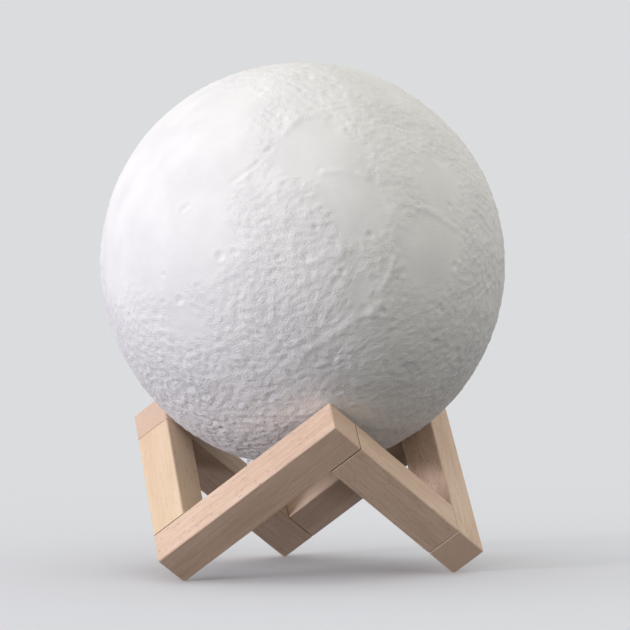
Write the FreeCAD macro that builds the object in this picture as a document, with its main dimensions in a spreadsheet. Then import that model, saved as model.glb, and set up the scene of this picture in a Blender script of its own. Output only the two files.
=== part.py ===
import FreeCAD, Part
import math
import os
import Sketcher

# Moon lamp: a hollow globe that rests on the three upper corners of a ring of six beech bars.
# The ring follows the zigzag of a cube that stands on one corner. A light module screws into the
# neck at the globe's underside. Frame: +Z up, origin on the table under the globe's centre, -Y front.
# All lengths are in millimetres.

DRIVING_SIZES = [
    # ring of bars
    ("bar_length", 85.0, "long bar, end to end"),
    ("bar_section", 14.5, "side of the square bar"),
    ("bar_bevel", 0.35, "bevel on the bars' edges"),
    ("foot_flat", 0.7, "depth of the sanded flat on each lowest corner"),
    ("dowel_radius", 1.5, "hidden pin in each bar joint"),
    ("dowel_length", 16.0, "half of it in each bar"),
    ("dowel_end_gap", 0.3, "room past each end of a pin"),
    ("fit_gap", 0.05, "clearance of glued and pushed fits"),
    # globe
    ("globe_radius", 75.0, "outside of the globe"),
    ("shell_wall", 2.0, "thickness of the printed shell"),
    ("rest_gap", 0.2, "between the globe and the corners that carry it"),
    ("neck_radius", 19.0, "hole in the globe's underside"),
    ("neck_wall", 1.5, "wall of the neck ring"),
    ("neck_height", 10.0, "height of the neck ring"),
    ("collar_width", 2.6, "glue collar of the neck ring"),
    ("collar_thickness", 1.2, "glue collar of the neck ring"),
    # cap
    ("cap_lip", 3.0, "how far the disc reaches past the globe's hole"),
    ("cap_thickness", 2.4, "disc that closes the globe"),
    ("cap_edge", 0.8, "bevel on the disc's lower rim"),
    ("seal_thickness", 0.8, "foam ring between cap and globe"),
    ("seal_gap", 0.05, "between foam ring and globe"),
    ("thread_gap", 0.1, "between the cap's skirt and the neck ring"),
    ("skirt_wall", 2.0, "screwed skirt of the cap"),
    ("skirt_height", 10.0, "screwed skirt of the cap"),
    ("boss_radius", 2.1, "posts under the control board"),
    ("boss_inset", 2.75, "from the board's edge in to the middle of a post"),
    ("boss_height", 4.6, "posts under the control board"),
    # touch switch
    ("touch_inner", 10.2, "metal ring under the cap"),
    ("touch_outer", 13.2, "metal ring under the cap"),
    ("touch_thickness", 1.0, "metal ring under the cap"),
    ("touch_proud", 0.2, "how far the metal ring stands out"),
    ("contact_radius", 0.6, "pin from ring to board"),
    ("contact_head_radius", 1.2, "head of that pin"),
    ("contact_head_height", 0.8, "head of that pin"),
    # charging socket
    ("socket_width", 8.94, "outside of the metal shell"),
    ("socket_depth", 3.26, "outside of the metal shell"),
    ("socket_wall", 0.3, "metal shell"),
    ("socket_inset", 0.4, "how far the shell's mouth sits inside the cap"),
    ("port_gap", 0.15, "between the shell and the cap"),
    ("insulator_height", 1.6, "moulded block at the back of the socket"),
    ("tongue_width", 6.7, "contact tongue"),
    ("tongue_thickness", 0.7, "contact tongue"),
    ("tongue_inset", 1.2, "how far the tongue ends inside the shell's mouth"),
    # indicator
    ("lens_post_gap", 1.1, "between the light pipe's collar and the post behind it"),
    ("lens_radius", 1.1, "light pipe in the cap"),
    ("lens_collar_radius", 1.6, "collar of the light pipe"),
    ("lens_collar_height", 0.8, "collar of the light pipe"),
    ("lamp_length", 1.6, "small indicator lamp"),
    ("lamp_width", 1.0, "small indicator lamp"),
    ("lamp_height", 0.7, "small indicator lamp"),
    ("lamp_gap", 0.2, "between light pipe and lamp"),
    # control board
    ("board_gap", 0.6, "round the control board"),
    ("board_thickness", 1.2, "control board"),
    ("chip_length", 5.0, "control chip"),
    ("chip_width", 4.4, "control chip"),
    ("chip_height", 1.1, "control chip"),
    ("coil_side", 5.0, "charging coil"),
    ("coil_height", 2.0, "charging coil"),
    ("coil_corner", 0.8, "bevelled corners of the charging coil"),
    ("part_offset", 1.8, "chip and coil from the board's middle"),
    ("capacitor_length", 3.2, "capacitors"),
    ("capacitor_width", 1.6, "capacitors"),
    ("capacitor_height", 1.3, "capacitors"),
    ("capacitor_pitch", 2.6, "capacitors"),
    ("capacitor_row", 6.0, "capacitors from the board's middle"),
    # small screws
    ("screw_radius", 0.8, "shank"),
    ("screw_length", 4.0, "shank under what it holds"),
    ("screw_head_radius", 1.5, "head"),
    ("screw_head_height", 0.9, "head"),
    ("screw_hole_gap", 0.15, "room round the shank in what it holds"),
    # housing
    ("pass_gap", 0.9, "between housing and neck ring"),
    ("housing_wall", 1.5, "tube over the cap"),
    ("floor_thickness", 1.4, "floor of the housing"),
    ("spigot_depth", 2.8, "spigot in the cap's skirt"),
    ("spigot_wall", 1.3, "spigot in the cap's skirt"),
    ("bead_height", 0.25, "snap bead on the spigot"),
    ("bead_half", 0.5, "half of the snap bead's width"),
    ("rib_width", 1.4, "ribs that guide the cell"),
    ("post_width", 4.4, "ribs that take the screws"),
    ("cell_gap", 0.15, "between the cell and the ribs"),
    ("lead_hole_gap", 0.4, "room round a lead where it passes a floor"),
    # cell
    ("cell_radius", 8.25, "round lithium cell"),
    ("cell_length", 28.5, "round lithium cell with its button"),
    ("cell_button_radius", 3.0, "positive button"),
    ("cell_button_height", 0.8, "positive button"),
    ("cell_edge", 0.6, "rounded shrink sleeve at the ends"),
    ("pad_thickness", 1.0, "foam pads at the cell's ends"),
    ("pad_inset", 0.6, "foam pads smaller than the cell"),
    # leads
    ("lead_radius", 0.6, "insulated leads"),
    ("lead_bend", 1.5, "bend of the cell's leads"),
    ("cell_lead_tail", 0.95, "level run beside the cell"),
    ("cell_lead_drop", 3.0, "leads leave the cell below its top"),
    ("lead_end_gap", 0.1, "between a lead's end and the cell's side"),
    ("lead_hole_web", 1.0, "between a lead's hole and the spigot"),
    # light
    ("plate_thickness", 1.5, "metal plate that spreads the heat"),
    ("light_board_gap", 0.3, "round the light board"),
    ("light_board_thickness", 1.0, "light board"),
    ("light_screw_inset", 0.6, "between a screw's head and the light board's edge"),
    ("light_count", 6.0, "light chips"),
    ("light_circle", 6.5, "radius of the ring of light chips"),
    ("light_length", 3.5, "light chip"),
    ("light_width", 2.8, "light chip"),
    ("light_height", 0.8, "light chip"),
    # dome
    ("dome_wall", 1.2, "frosted dome over the light"),
    ("dome_spigot", 2.2, "spigot of the dome in the housing"),
    ("dome_spigot_wall", 1.0, "spigot of the dome in the housing"),
    ("dome_web", 1.0, "web between the dome and its spigot"),
]

LAYOUT = [
    # ring of bars
    ("tip_radius", "sqrt(2 / 3) * (dims.bar_length - dims.bar_section)", "axis to feet and seats"),
    ("seat_height", "(dims.bar_length + 2 * dims.bar_section) / sqrt(3) - dims.foot_flat", "globe seats"),
    ("short_length", "dims.bar_length - 2 * dims.bar_section", "short bar between its neighbours"),
    ("short_x", "short_length / sqrt(2)", "lower end of a short bar"),
    ("short_y", "-dims.bar_length / sqrt(6)", "lower end of a short bar"),
    ("short_z", "dims.bar_section / sqrt(3) - dims.foot_flat", "lower end of a short bar"),
    ("bar_middle", "dims.bar_section / 2", "centre of the section"),
    ("upper_pin_level", "dims.bar_length - bar_middle", "pin of the joint at a seat"),
    ("pin_hole_radius", "dims.dowel_radius + dims.fit_gap", "hole for a pin"),
    ("pin_hole_depth", "dims.dowel_length / 2 + dims.dowel_end_gap", "hole for a pin"),
    ("pin_low", "-dims.dowel_length / 2", "lower pin, from the short bar's lower end"),
    ("pin_high", "short_length - dims.dowel_length / 2", "upper pin, from the same end"),
    ("foot_cutter_height", "bar_middle", "block that cuts the foot flat"),
    ("foot_cutter_base", "(dims.foot_flat - foot_cutter_height) / sqrt(3)", "block that cuts the flat"),
    # globe
    ("rest_radius", "dims.globe_radius + dims.rest_gap", "ball through the three seats"),
    ("globe_height", "seat_height + sqrt(rest_radius ^ 2 - tip_radius ^ 2)", "globe's centre"),
    ("shell_inner", "dims.globe_radius - dims.shell_wall", "inside of the shell"),
    ("cap_radius", "dims.neck_radius + dims.cap_lip", "disc that closes the globe"),
    ("mouth_drop", "sqrt(dims.globe_radius ^ 2 - cap_radius ^ 2)", "centre to the flat underside"),
    # module, measured up from the cap's outer face
    ("mouth_level", "dims.cap_thickness + dims.seal_thickness + dims.seal_gap", "globe's flat underside"),
    ("centre_level", "mouth_level + mouth_drop", "globe's centre"),
    ("cap_face_height", "globe_height - centre_level", "cap's outer face above the table"),
    ("neck_outer", "dims.neck_radius - dims.fit_gap", "neck ring"),
    ("neck_inner", "neck_outer - dims.neck_wall", "neck ring"),
    ("neck_top", "mouth_level + dims.neck_height", "neck ring"),
    ("collar_outer", "neck_outer + dims.collar_width", "glue collar"),
    ("collar_root_low", "centre_level - sqrt(shell_inner ^ 2 - neck_outer ^ 2) + dims.fit_gap", "collar"),
    ("collar_rim_low", "centre_level - sqrt(shell_inner ^ 2 - collar_outer ^ 2) + dims.fit_gap", "collar"),
    ("collar_top", "collar_rim_low + dims.collar_thickness", "glue collar"),
    ("skirt_outer", "neck_inner - dims.thread_gap", "cap's skirt"),
    ("skirt_inner", "skirt_outer - dims.skirt_wall", "cap's skirt"),
    ("skirt_top", "dims.cap_thickness + dims.skirt_height", "cap's skirt"),
    ("seal_inner", "skirt_outer + dims.thread_gap", "foam ring"),
    ("seal_top", "dims.cap_thickness + dims.seal_thickness", "foam ring"),
    ("seal_outer", "cap_radius - dims.cap_edge", "foam ring"),
    ("cap_bevel_start", "cap_radius - dims.cap_edge", "lower rim of the disc"),
    ("groove_inner", "dims.touch_inner - dims.fit_gap", "groove of the metal ring"),
    ("groove_outer", "dims.touch_outer + dims.fit_gap", "groove of the metal ring"),
    ("groove_depth", "dims.touch_thickness - dims.touch_proud", "groove of the metal ring"),
    ("touch_middle", "(dims.touch_inner + dims.touch_outer) / 2", "contact pin's circle"),
    ("touch_drop", "cap_face_height - dims.touch_proud", "metal ring's lower face"),
    ("board_level", "dims.cap_thickness + dims.boss_height", "control board's underside"),
    ("board_top", "board_level + dims.board_thickness", "control board's upper face"),
    ("board_radius", "skirt_inner - dims.board_gap", "control board"),
    ("boss_circle", "board_radius - dims.boss_inset", "middle of the posts and their screws"),
    ("pilot_radius", "dims.screw_radius + dims.fit_gap", "screw hole in a post"),
    ("screw_hole", "dims.screw_radius + dims.screw_hole_gap", "screw hole in a board"),
    ("contact_hole", "dims.contact_radius + dims.fit_gap", "hole for the contact pin"),
    ("contact_length", "board_level - groove_depth", "contact pin"),
    ("contact_head_low", "contact_length - dims.contact_head_height", "contact pin"),
    ("lens_post_reach", "dims.lens_collar_radius + dims.lens_post_gap + dims.boss_radius", "pipe to post"),
    ("indicator_offset", "boss_circle - lens_post_reach", "light pipe from the cap's centre"),
    ("lens_hole", "dims.lens_radius + dims.fit_gap", "hole for the light pipe"),
    ("lens_collar_top", "dims.cap_thickness + dims.lens_collar_height", "light pipe"),
    ("lamp_level", "board_level - dims.lamp_height", "indicator lamp's lower face"),
    ("lens_top", "lamp_level - dims.lamp_gap", "light pipe"),
    # charging socket
    ("socket_round", "dims.socket_depth / 2", "rounded ends of the shell"),
    ("socket_span", "dims.socket_width - dims.socket_depth", "between the shell's rounded ends"),
    ("socket_round_in", "socket_round - dims.socket_wall", "inside of the shell"),
    ("port_round", "socket_round + dims.port_gap", "port in the cap"),
    ("block_round", "socket_round_in - dims.fit_gap", "moulded block"),
    ("socket_length", "board_level - dims.socket_inset", "metal shell"),
    ("block_level", "board_level - dims.insulator_height", "moulded block's lower face"),
    ("tongue_level", "dims.socket_inset + dims.tongue_inset", "tongue's end"),
    ("tongue_length", "board_level - tongue_level", "tongue"),
    # housing
    ("housing_outer", "neck_inner - dims.pass_gap", "tube"),
    ("housing_inner", "housing_outer - dims.housing_wall", "tube"),
    ("spigot_outer", "skirt_inner - dims.fit_gap", "spigot"),
    ("spigot_inner", "spigot_outer - dims.spigot_wall", "spigot"),
    ("spigot_foot", "skirt_top - dims.spigot_depth", "spigot"),
    ("bead_level", "skirt_top - dims.spigot_depth / 2", "snap bead"),
    ("bead_low", "bead_level - dims.bead_half", "snap bead"),
    ("bead_high", "bead_level + dims.bead_half", "snap bead"),
    ("bead_outer", "spigot_outer + dims.bead_height", "snap bead"),
    ("bead_groove_low", "bead_low - dims.fit_gap", "groove for the bead"),
    ("bead_groove_high", "bead_high + dims.fit_gap", "groove for the bead"),
    ("bead_groove_outer", "skirt_inner + dims.bead_height + dims.fit_gap", "groove for the bead"),
    ("floor_top", "skirt_top + dims.floor_thickness", "floor"),
    ("cell_foot", "floor_top + dims.pad_thickness", "cell"),
    ("cell_top", "cell_foot + dims.cell_length", "cell"),
    ("plate_level", "cell_top + dims.pad_thickness", "heat plate's lower face"),
    ("plate_top", "plate_level + dims.plate_thickness", "heat plate's upper face"),
    ("plate_radius", "housing_inner - dims.fit_gap", "heat plate"),
    ("rim_level", "plate_top + dims.dome_spigot", "housing's upper rim"),
    ("rib_inner", "dims.cell_radius + dims.cell_gap", "ribs"),
    ("rib_root", "housing_inner + dims.housing_wall / 2", "ribs end inside the wall"),
    ("rib_length", "rib_root - rib_inner", "ribs"),
    ("rib_height", "plate_level - floor_top", "ribs"),
    ("pilot_depth", "dims.screw_length", "screw hole in a rib"),
    ("lead_hole", "dims.lead_radius + dims.lead_hole_gap", "hole for a lead"),
    # cell
    ("cell_shoulder", "cell_top - dims.cell_button_height", "cell"),
    ("cell_edge_radius", "dims.cell_radius - dims.cell_edge", "cell"),
    ("cell_edge_low", "cell_foot + dims.cell_edge", "cell"),
    ("cell_edge_high", "cell_shoulder - dims.cell_edge", "cell"),
    ("pad_radius", "dims.cell_radius - dims.pad_inset", "foam pads"),
    # leads
    ("cell_lead_level", "cell_top - dims.cell_lead_drop", "cell's leads enter the cell"),
    ("cell_lead_height", "cell_lead_level - dims.lead_bend - board_top", "upright run"),
    ("cell_lead_reach", "dims.cell_radius + dims.lead_end_gap + dims.cell_lead_tail", "end of the bend"),
    ("cell_lead_circle", "cell_lead_reach + dims.lead_bend", "upright run"),
    ("light_lead_circle", "spigot_inner - dims.lead_hole_web - lead_hole", "upright run"),
    ("light_lead_height", "plate_top - board_top", "upright run"),
    # light
    ("spigot_dome_outer", "housing_inner - dims.fit_gap", "dome's spigot"),
    ("spigot_dome_inner", "spigot_dome_outer - dims.dome_spigot_wall", "dome's spigot"),
    ("light_board_radius", "spigot_dome_inner - dims.light_board_gap", "light board"),
    ("light_board_top", "plate_top + dims.light_board_thickness", "light board"),
    ("light_screw_circle", "light_board_radius - dims.light_screw_inset - dims.screw_head_radius", "screws"),
    ("light_inset", "dims.light_circle - dims.light_width / 2", "light chips"),
    ("light_screw_reach", "plate_level - dims.screw_length", "screws' ends"),
    ("light_screw_shank", "light_board_top - light_screw_reach", "screws"),
    ("board_screw_shank", "dims.board_thickness + dims.screw_length", "screws"),
    ("board_screw_low", "board_level - dims.screw_length", "screws' ends"),
    ("dome_inner", "housing_outer - dims.dome_wall", "dome"),
    ("dome_web_outer", "housing_outer - dims.dome_wall / 2", "web under the dome"),
    ("dome_web_top", "rim_level + dims.dome_web", "web under the dome"),
]

THIRD_TURN = 120
FOOT_ANGLE = 210          # direction of the front left foot, seen from above
LONG_BARS = ["front", "right", "rear"]
SHORT_BARS = ["front", "rear", "left"]
CELL_LEAD_ANGLES = {"cell_lead_plus": 45, "cell_lead_minus": 135}
LIGHT_LEAD_ANGLES = [225, 315]
BOARD_SCREW_ANGLES = [90, 210, 330]
LIGHT_SCREW_ANGLES = [0, 180]

X_AXIS = FreeCAD.Vector(1, 0, 0)
Y_AXIS = FreeCAD.Vector(0, 1, 0)
Z_AXIS = FreeCAD.Vector(0, 0, 1)
CUBE_DIAGONAL = FreeCAD.Vector(1, 1, 1)

doc = FreeCAD.newDocument("moon_lamp")
finished = []             # the sub-parts, in the order in which they are made


# ---------------------------------------------------------------- sheets and expressions

def fill_sheet(name, rows, prefix=""):
    """One row per size: its name, its value or formula, and what it is."""
    sheet = doc.addObject("Spreadsheet::Sheet", name)
    for row, (alias, content, note) in enumerate(rows, start=1):
        sheet.set(f"A{row}", alias)
        sheet.set(f"B{row}", prefix + str(content))
        sheet.set(f"C{row}", note)
        sheet.setAlias(f"B{row}", alias)
    doc.recompute()
    return sheet


dims = fill_sheet("dims", DRIVING_SIZES)
layout = fill_sheet("layout", LAYOUT, prefix="=")
LAYOUT_NAMES = {alias for alias, formula, note in LAYOUT}


def ref(alias):
    """The expression that reads one named size."""
    sheet_name = "layout" if alias in LAYOUT_NAMES else "dims"
    return f"{sheet_name}.{alias}"


def size(alias):
    """The present value of one named size."""
    sheet = layout if alias in LAYOUT_NAMES else dims
    return float(getattr(sheet, alias))


def bind(item, **properties):
    """Ties properties of a document object to named sizes."""
    for name, alias in properties.items():
        item.setExpression(name, ref(alias))


def place(item, x=None, y=None, z=None, rotation=None):
    """Ties an object's place to expressions, after its fixed turn is set."""
    if rotation is not None:
        item.Placement = FreeCAD.Placement(FreeCAD.Vector(), rotation)
    for axis, expression in (("x", x), ("y", y), ("z", z)):
        if expression is not None:
            item.setExpression(f"Placement.Base.{axis}", expression)


def around(angle, x, y="0"):
    """Expressions for the point x, y after a turn about the upright axis."""
    turned_x = f"cos({angle} deg) * ({x}) - sin({angle} deg) * ({y})"
    turned_y = f"sin({angle} deg) * ({x}) + cos({angle} deg) * ({y})"
    return turned_x, turned_y


def turn_about_z(angle):
    return FreeCAD.Rotation(Z_AXIS, angle)


def finish(item, label):
    """Names a finished sub-part and keeps it for the export."""
    item.Label = label
    finished.append(item)
    return item


# ---------------------------------------------------------------- sketches and solid features

def new_body(name):
    return doc.addObject("PartDesign::Body", name + "_body")


def new_sketch(body, name, role, level=None):
    """A sketch on one of the body's own planes, lifted to a named level."""
    plane = next(item for item in body.Origin.OriginFeatures if item.Role == role)
    sketch = body.newObject("Sketcher::SketchObject", name)
    sketch.AttachmentSupport = [(plane, "")]
    sketch.MapMode = "FlatFace"
    if level is not None:
        sketch.setExpression("AttachmentOffset.Base.z", ref(level))
    doc.recompute()
    return sketch


def tie(sketch, constraint, alias):
    """Adds a dimension to a sketch and ties it to a named size."""
    index = sketch.addConstraint(constraint)
    sketch.setExpression(f"Constraints[{index}]", ref(alias))


def pin_point(sketch, geometry, point, x, y):
    """Holds a sketch point at two named distances from the sketch's origin; None means on the axis."""
    for alias, kind, axis in ((x, "DistanceX", -2), (y, "DistanceY", -1)):
        if alias is None:
            sketch.addConstraint(Sketcher.Constraint("PointOnObject", geometry, point, axis))
        else:
            distance = Sketcher.Constraint(kind, -1, 1, geometry, point, size(alias))
            tie(sketch, distance, alias)


def coordinate(alias):
    return 0.0 if alias is None else size(alias)


def draw_outline(sketch, corners):
    """A closed outline of straight lines through named corners."""
    points = [FreeCAD.Vector(coordinate(x), coordinate(y), 0) for x, y in corners]
    first = sketch.GeometryCount
    count = len(corners)
    for index in range(count):
        line = Part.LineSegment(points[index], points[(index + 1) % count])
        sketch.addGeometry(line, False)
    for index in range(count):
        following = first + (index + 1) % count
        sketch.addConstraint(Sketcher.Constraint("Coincident", first + index, 2, following, 1))
    for index, (x, y) in enumerate(corners):
        pin_point(sketch, first + index, 1, x, y)


def draw_circle(sketch, radius, x=None, y=None):
    centre = FreeCAD.Vector(coordinate(x), coordinate(y), 0)
    index = sketch.addGeometry(Part.Circle(centre, Z_AXIS, size(radius)), False)
    pin_point(sketch, index, 3, x, y)
    tie(sketch, Sketcher.Constraint("Radius", index, size(radius)), radius)


def draw_stadium(sketch, round_radius, span):
    """A slot with round ends, centred on the sketch's origin and lying along its first axis."""
    radius = size(round_radius)
    half = size(span) / 2
    right_end = Part.Circle(FreeCAD.Vector(half, 0, 0), Z_AXIS, radius)
    left_end = Part.Circle(FreeCAD.Vector(-half, 0, 0), Z_AXIS, radius)
    quarter = math.pi / 2
    right = sketch.addGeometry(Part.ArcOfCircle(right_end, -quarter, quarter), False)
    left = sketch.addGeometry(Part.ArcOfCircle(left_end, quarter, 3 * quarter), False)
    top = sketch.addGeometry(
        Part.LineSegment(FreeCAD.Vector(half, radius, 0), FreeCAD.Vector(-half, radius, 0)), False)
    bottom = sketch.addGeometry(
        Part.LineSegment(FreeCAD.Vector(-half, -radius, 0), FreeCAD.Vector(half, -radius, 0)), False)
    for first, end, second, start in ((right, 2, top, 1), (top, 2, left, 1), (left, 2, bottom, 1),
                                      (bottom, 2, right, 1)):
        sketch.addConstraint(Sketcher.Constraint("Tangent", first, end, second, start))
    sketch.addConstraint(Sketcher.Constraint("Symmetric", right, 3, left, 3, -1, 1))
    sketch.addConstraint(Sketcher.Constraint("PointOnObject", right, 3, -1))
    tie(sketch, Sketcher.Constraint("Radius", right, radius), round_radius)
    tie(sketch, Sketcher.Constraint("DistanceX", left, 3, right, 3, size(span)), span)


def revolve(body, name, corners):
    """Turns a closed outline, given as radius and level, about the body's upright axis."""
    sketch = new_sketch(body, name + "_section", "XZ_Plane")
    draw_outline(sketch, corners)
    turned = body.newObject("PartDesign::Revolution", name + "_turned")
    turned.Profile = sketch
    turned.ReferenceAxis = (sketch, ["V_Axis"])
    turned.Angle = 360
    doc.recompute()
    return turned


def pad(body, name, sketch, height, downwards=False):
    feature = body.newObject("PartDesign::Pad", name)
    feature.Profile = sketch
    feature.Reversed = downwards
    bind(feature, Length=height)
    doc.recompute()
    return feature


def pocket(body, name, sketch, depth, upwards=False):
    """Cuts a sketch into the solid and makes sure that something was cut."""
    before = body.Shape.Volume
    feature = body.newObject("PartDesign::Pocket", name)
    feature.Profile = sketch
    feature.Reversed = upwards
    bind(feature, Length=depth)
    doc.recompute()
    if not body.Shape.Volume < before:
        raise RuntimeError(f"{name} cuts nothing")
    return feature


def repeat_round(body, name, feature, occurrences):
    """Repeats a feature evenly round the body's upright axis."""
    axis = next(item for item in body.Origin.OriginFeatures if item.Role == "Z_Axis")
    pattern = body.newObject("PartDesign::PolarPattern", name)
    pattern.Originals = [feature]
    pattern.Axis = (axis, [""])
    pattern.Angle = 360
    pattern.Occurrences = occurrences
    body.Tip = pattern
    doc.recompute()
    return pattern


def ring_outline(inner, outer, low, high):
    """Section of a plain ring or, with no inner radius, of a disc."""
    return [(inner, low), (outer, low), (outer, high), (inner, high)]


# ---------------------------------------------------------------- primitives

def cylinder(name, radius, height):
    item = doc.addObject("Part::Cylinder", name)
    bind(item, Radius=radius, Height=height)
    return item


def box(name, length, width, height):
    item = doc.addObject("Part::Box", name)
    bind(item, Length=length, Width=width, Height=height)
    return item


def sphere(name, radius):
    item = doc.addObject("Part::Sphere", name)
    bind(item, Radius=radius)
    return item


def cut(name, base, tool):
    item = doc.addObject("Part::Cut", name)
    item.Base = base
    item.Tool = tool
    return item


def fuse(name, shapes):
    item = doc.addObject("Part::MultiFuse", name)
    item.Shapes = shapes
    item.Refine = True
    return item


def group(name, shapes):
    """Identical solids that share one node."""
    item = doc.addObject("Part::Compound", name)
    item.Links = shapes
    return item


def level(alias):
    """Height above the table of a level that is measured from the cap's outer face."""
    return f"{ref('cap_face_height')} + {ref(alias)}"


# ---------------------------------------------------------------- ring of bars

def bar_blank(name, length):
    """A square bar along its own Z, with bevelled edges."""
    body = new_body(name)
    section = new_sketch(body, name + "_section", "XY_Plane")
    draw_outline(section, [(None, None), ("bar_section", None), ("bar_section", "bar_section"),
                           (None, "bar_section")])
    blank = pad(body, name + "_blank", section, length)
    edges = [f"Edge{index + 1}" for index in range(len(blank.Shape.Edges))]
    bevel = body.newObject("PartDesign::Chamfer", name + "_bevel")
    bevel.Base = (blank, edges)
    bind(bevel, Size="bar_bevel")
    doc.recompute()
    return body


def pin_hole(body, name, role, lift, x, y, upwards=False):
    """Blind hole for a pin, on a side or an end of a bar."""
    mouth = new_sketch(body, name + "_mouth", role, lift)
    draw_circle(mouth, "pin_hole_radius", x, y)
    pocket(body, name, mouth, "pin_hole_depth", upwards)


def cut_foot_flat(body, name):
    """Cuts the lowest corner level with the table."""
    before = body.Shape.Volume
    cutter = body.newObject("PartDesign::SubtractiveCylinder", name + "_foot_flat")
    cutter.Placement = FreeCAD.Placement(FreeCAD.Vector(), FreeCAD.Rotation(Z_AXIS, CUBE_DIAGONAL))
    bind(cutter, Radius="bar_middle", Height="foot_cutter_height")
    for axis in "xyz":
        cutter.setExpression(f"Placement.Base.{axis}", ref("foot_cutter_base"))
    doc.recompute()
    if not body.Shape.Volume < before:
        raise RuntimeError(f"{name} has no flat on its foot")


def cube_axes(turn):
    """The three edge directions of a cube on its corner, turned about the upright axis."""
    rise = math.sqrt(1 / 3)
    spread = math.sqrt(2 / 3)
    axes = []
    for step in range(3):
        heading = math.radians(FOOT_ANGLE + turn + step * THIRD_TURN)
        axes.append(FreeCAD.Vector(spread * math.cos(heading), spread * math.sin(heading), rise))
    return axes


def long_bar(side, turn):
    """Runs from a foot up to a seat of the globe and shows both its ends."""
    name = "long_bar_" + side
    body = bar_blank(name, "bar_length")
    pin_hole(body, name + "_upper_pin_hole", "XZ_Plane", None, "bar_middle", "upper_pin_level")
    pin_hole(body, name + "_lower_pin_hole", "YZ_Plane", "bar_section", "bar_middle", "bar_middle")
    cut_foot_flat(body, name)
    first, second, third = cube_axes(turn)
    x, y = around(FOOT_ANGLE + turn, ref("tip_radius"))
    place(body, x, y, "-" + ref("foot_flat"), FreeCAD.Rotation(third, first, second))
    finish(body, name)


def short_bar(side, turn):
    """Runs from a foot up to a seat and butts against a long bar at both ends."""
    name = "short_bar_" + side
    body = bar_blank(name, "short_length")
    pin_hole(body, name + "_lower_pin_hole", "XY_Plane", None, "bar_middle", "bar_middle", upwards=True)
    pin_hole(body, name + "_upper_pin_hole", "XY_Plane", "short_length", "bar_middle", "bar_middle")
    first, second, third = cube_axes(turn)
    x, y = around(turn, ref("short_x"), ref("short_y"))
    place(body, x, y, ref("short_z"), FreeCAD.Rotation(second, third, first))
    finish(body, name)


def dowel_pins():
    """Two hidden pins per short bar, half in it and half in the long bar that it meets."""
    pins = []
    for index, side in enumerate(SHORT_BARS):
        turn = index * THIRD_TURN
        first, second, third = cube_axes(turn)
        middle = second + third
        for end, start in (("lower", "pin_low"), ("upper", "pin_high")):
            pin = cylinder(f"pin_{side}_{end}", "dowel_radius", "dowel_length")
            x, y = around(turn, ref("short_x"), ref("short_y"))
            half, shift = ref("bar_middle"), ref(start)
            place(pin,
                  f"{x} + ({middle.x}) * {half} + ({first.x}) * {shift}",
                  f"{y} + ({middle.y}) * {half} + ({first.y}) * {shift}",
                  f"{ref('short_z')} + ({middle.z}) * {half} + ({first.z}) * {shift}",
                  FreeCAD.Rotation(second, third, first))
            pins.append(pin)
    finish(group("dowel_pin_group", pins), "dowel_pins")


def make_stand():
    for index, (long_side, short_side) in enumerate(zip(LONG_BARS, SHORT_BARS)):
        long_bar(long_side, index * THIRD_TURN)
        short_bar(short_side, index * THIRD_TURN)
    dowel_pins()


# ---------------------------------------------------------------- globe

def globe_shell():
    """Thin ball, cut flat underneath, with the round hole that takes the neck ring."""
    ball = sphere("globe_outside", "globe_radius")
    hollow = sphere("globe_inside", "shell_inner")
    shell = cut("globe_hollow", ball, hollow)
    below = cylinder("globe_flat_cutter", "globe_radius", "globe_radius")
    place(below, z=f"-{ref('mouth_drop')} - {ref('globe_radius')}")
    flat = cut("globe_flat", shell, below)
    hole = cylinder("globe_hole", "neck_radius", "globe_radius")
    place(hole, z="-" + ref("globe_radius"))
    globe = cut("globe_cut", flat, hole)
    place(globe, z=ref("globe_height"))
    finish(globe, "globe_shell")


def neck_ring():
    """Screwed ring that is glued into the globe's hole, with a collar against the inner wall."""
    body = new_body("neck_ring")
    revolve(body, "neck_ring", [
        ("neck_inner", "mouth_level"), ("neck_outer", "mouth_level"), ("neck_outer", "collar_root_low"),
        ("collar_outer", "collar_rim_low"), ("collar_outer", "collar_top"), ("neck_outer", "collar_top"),
        ("neck_outer", "neck_top"), ("neck_inner", "neck_top")])
    place(body, z=ref("cap_face_height"))
    finish(body, "neck_ring")


def light_seal():
    """Foam ring that keeps light from leaking round the cap."""
    body = new_body("light_seal")
    revolve(body, "light_seal", ring_outline("seal_inner", "seal_outer", "cap_thickness", "seal_top"))
    place(body, z=ref("cap_face_height"))
    finish(body, "light_seal")


# ---------------------------------------------------------------- cap and switch

def base_cap():
    """Disc with a screwed skirt, a groove for the metal ring, posts for the board and three holes."""
    body = new_body("base_cap")
    revolve(body, "base_cap", [
        (None, None), ("groove_inner", None), ("groove_inner", "groove_depth"),
        ("groove_outer", "groove_depth"), ("groove_outer", None), ("cap_bevel_start", None),
        ("cap_radius", "cap_edge"), ("cap_radius", "cap_thickness"), ("skirt_outer", "cap_thickness"),
        ("skirt_outer", "skirt_top"), ("skirt_inner", "skirt_top"), ("skirt_inner", "bead_groove_high"),
        ("bead_groove_outer", "bead_level"), ("skirt_inner", "bead_groove_low"),
        ("skirt_inner", "cap_thickness"), (None, "cap_thickness")])
    post_section = new_sketch(body, "board_post_section", "XY_Plane", "cap_thickness")
    draw_circle(post_section, "boss_radius", None, "boss_circle")
    draw_circle(post_section, "pilot_radius", None, "boss_circle")
    post = pad(body, "board_post", post_section, "boss_height")
    repeat_round(body, "board_posts", post, len(BOARD_SCREW_ANGLES))
    openings = new_sketch(body, "cap_openings", "XY_Plane")
    draw_stadium(openings, "port_round", "socket_span")
    draw_circle(openings, "lens_hole", None, "indicator_offset")
    draw_circle(openings, "contact_hole", "touch_middle", None)
    pocket(body, "cap_holes", openings, "cap_thickness", upwards=True)
    place(body, z=ref("cap_face_height"))
    finish(body, "base_cap")


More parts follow.
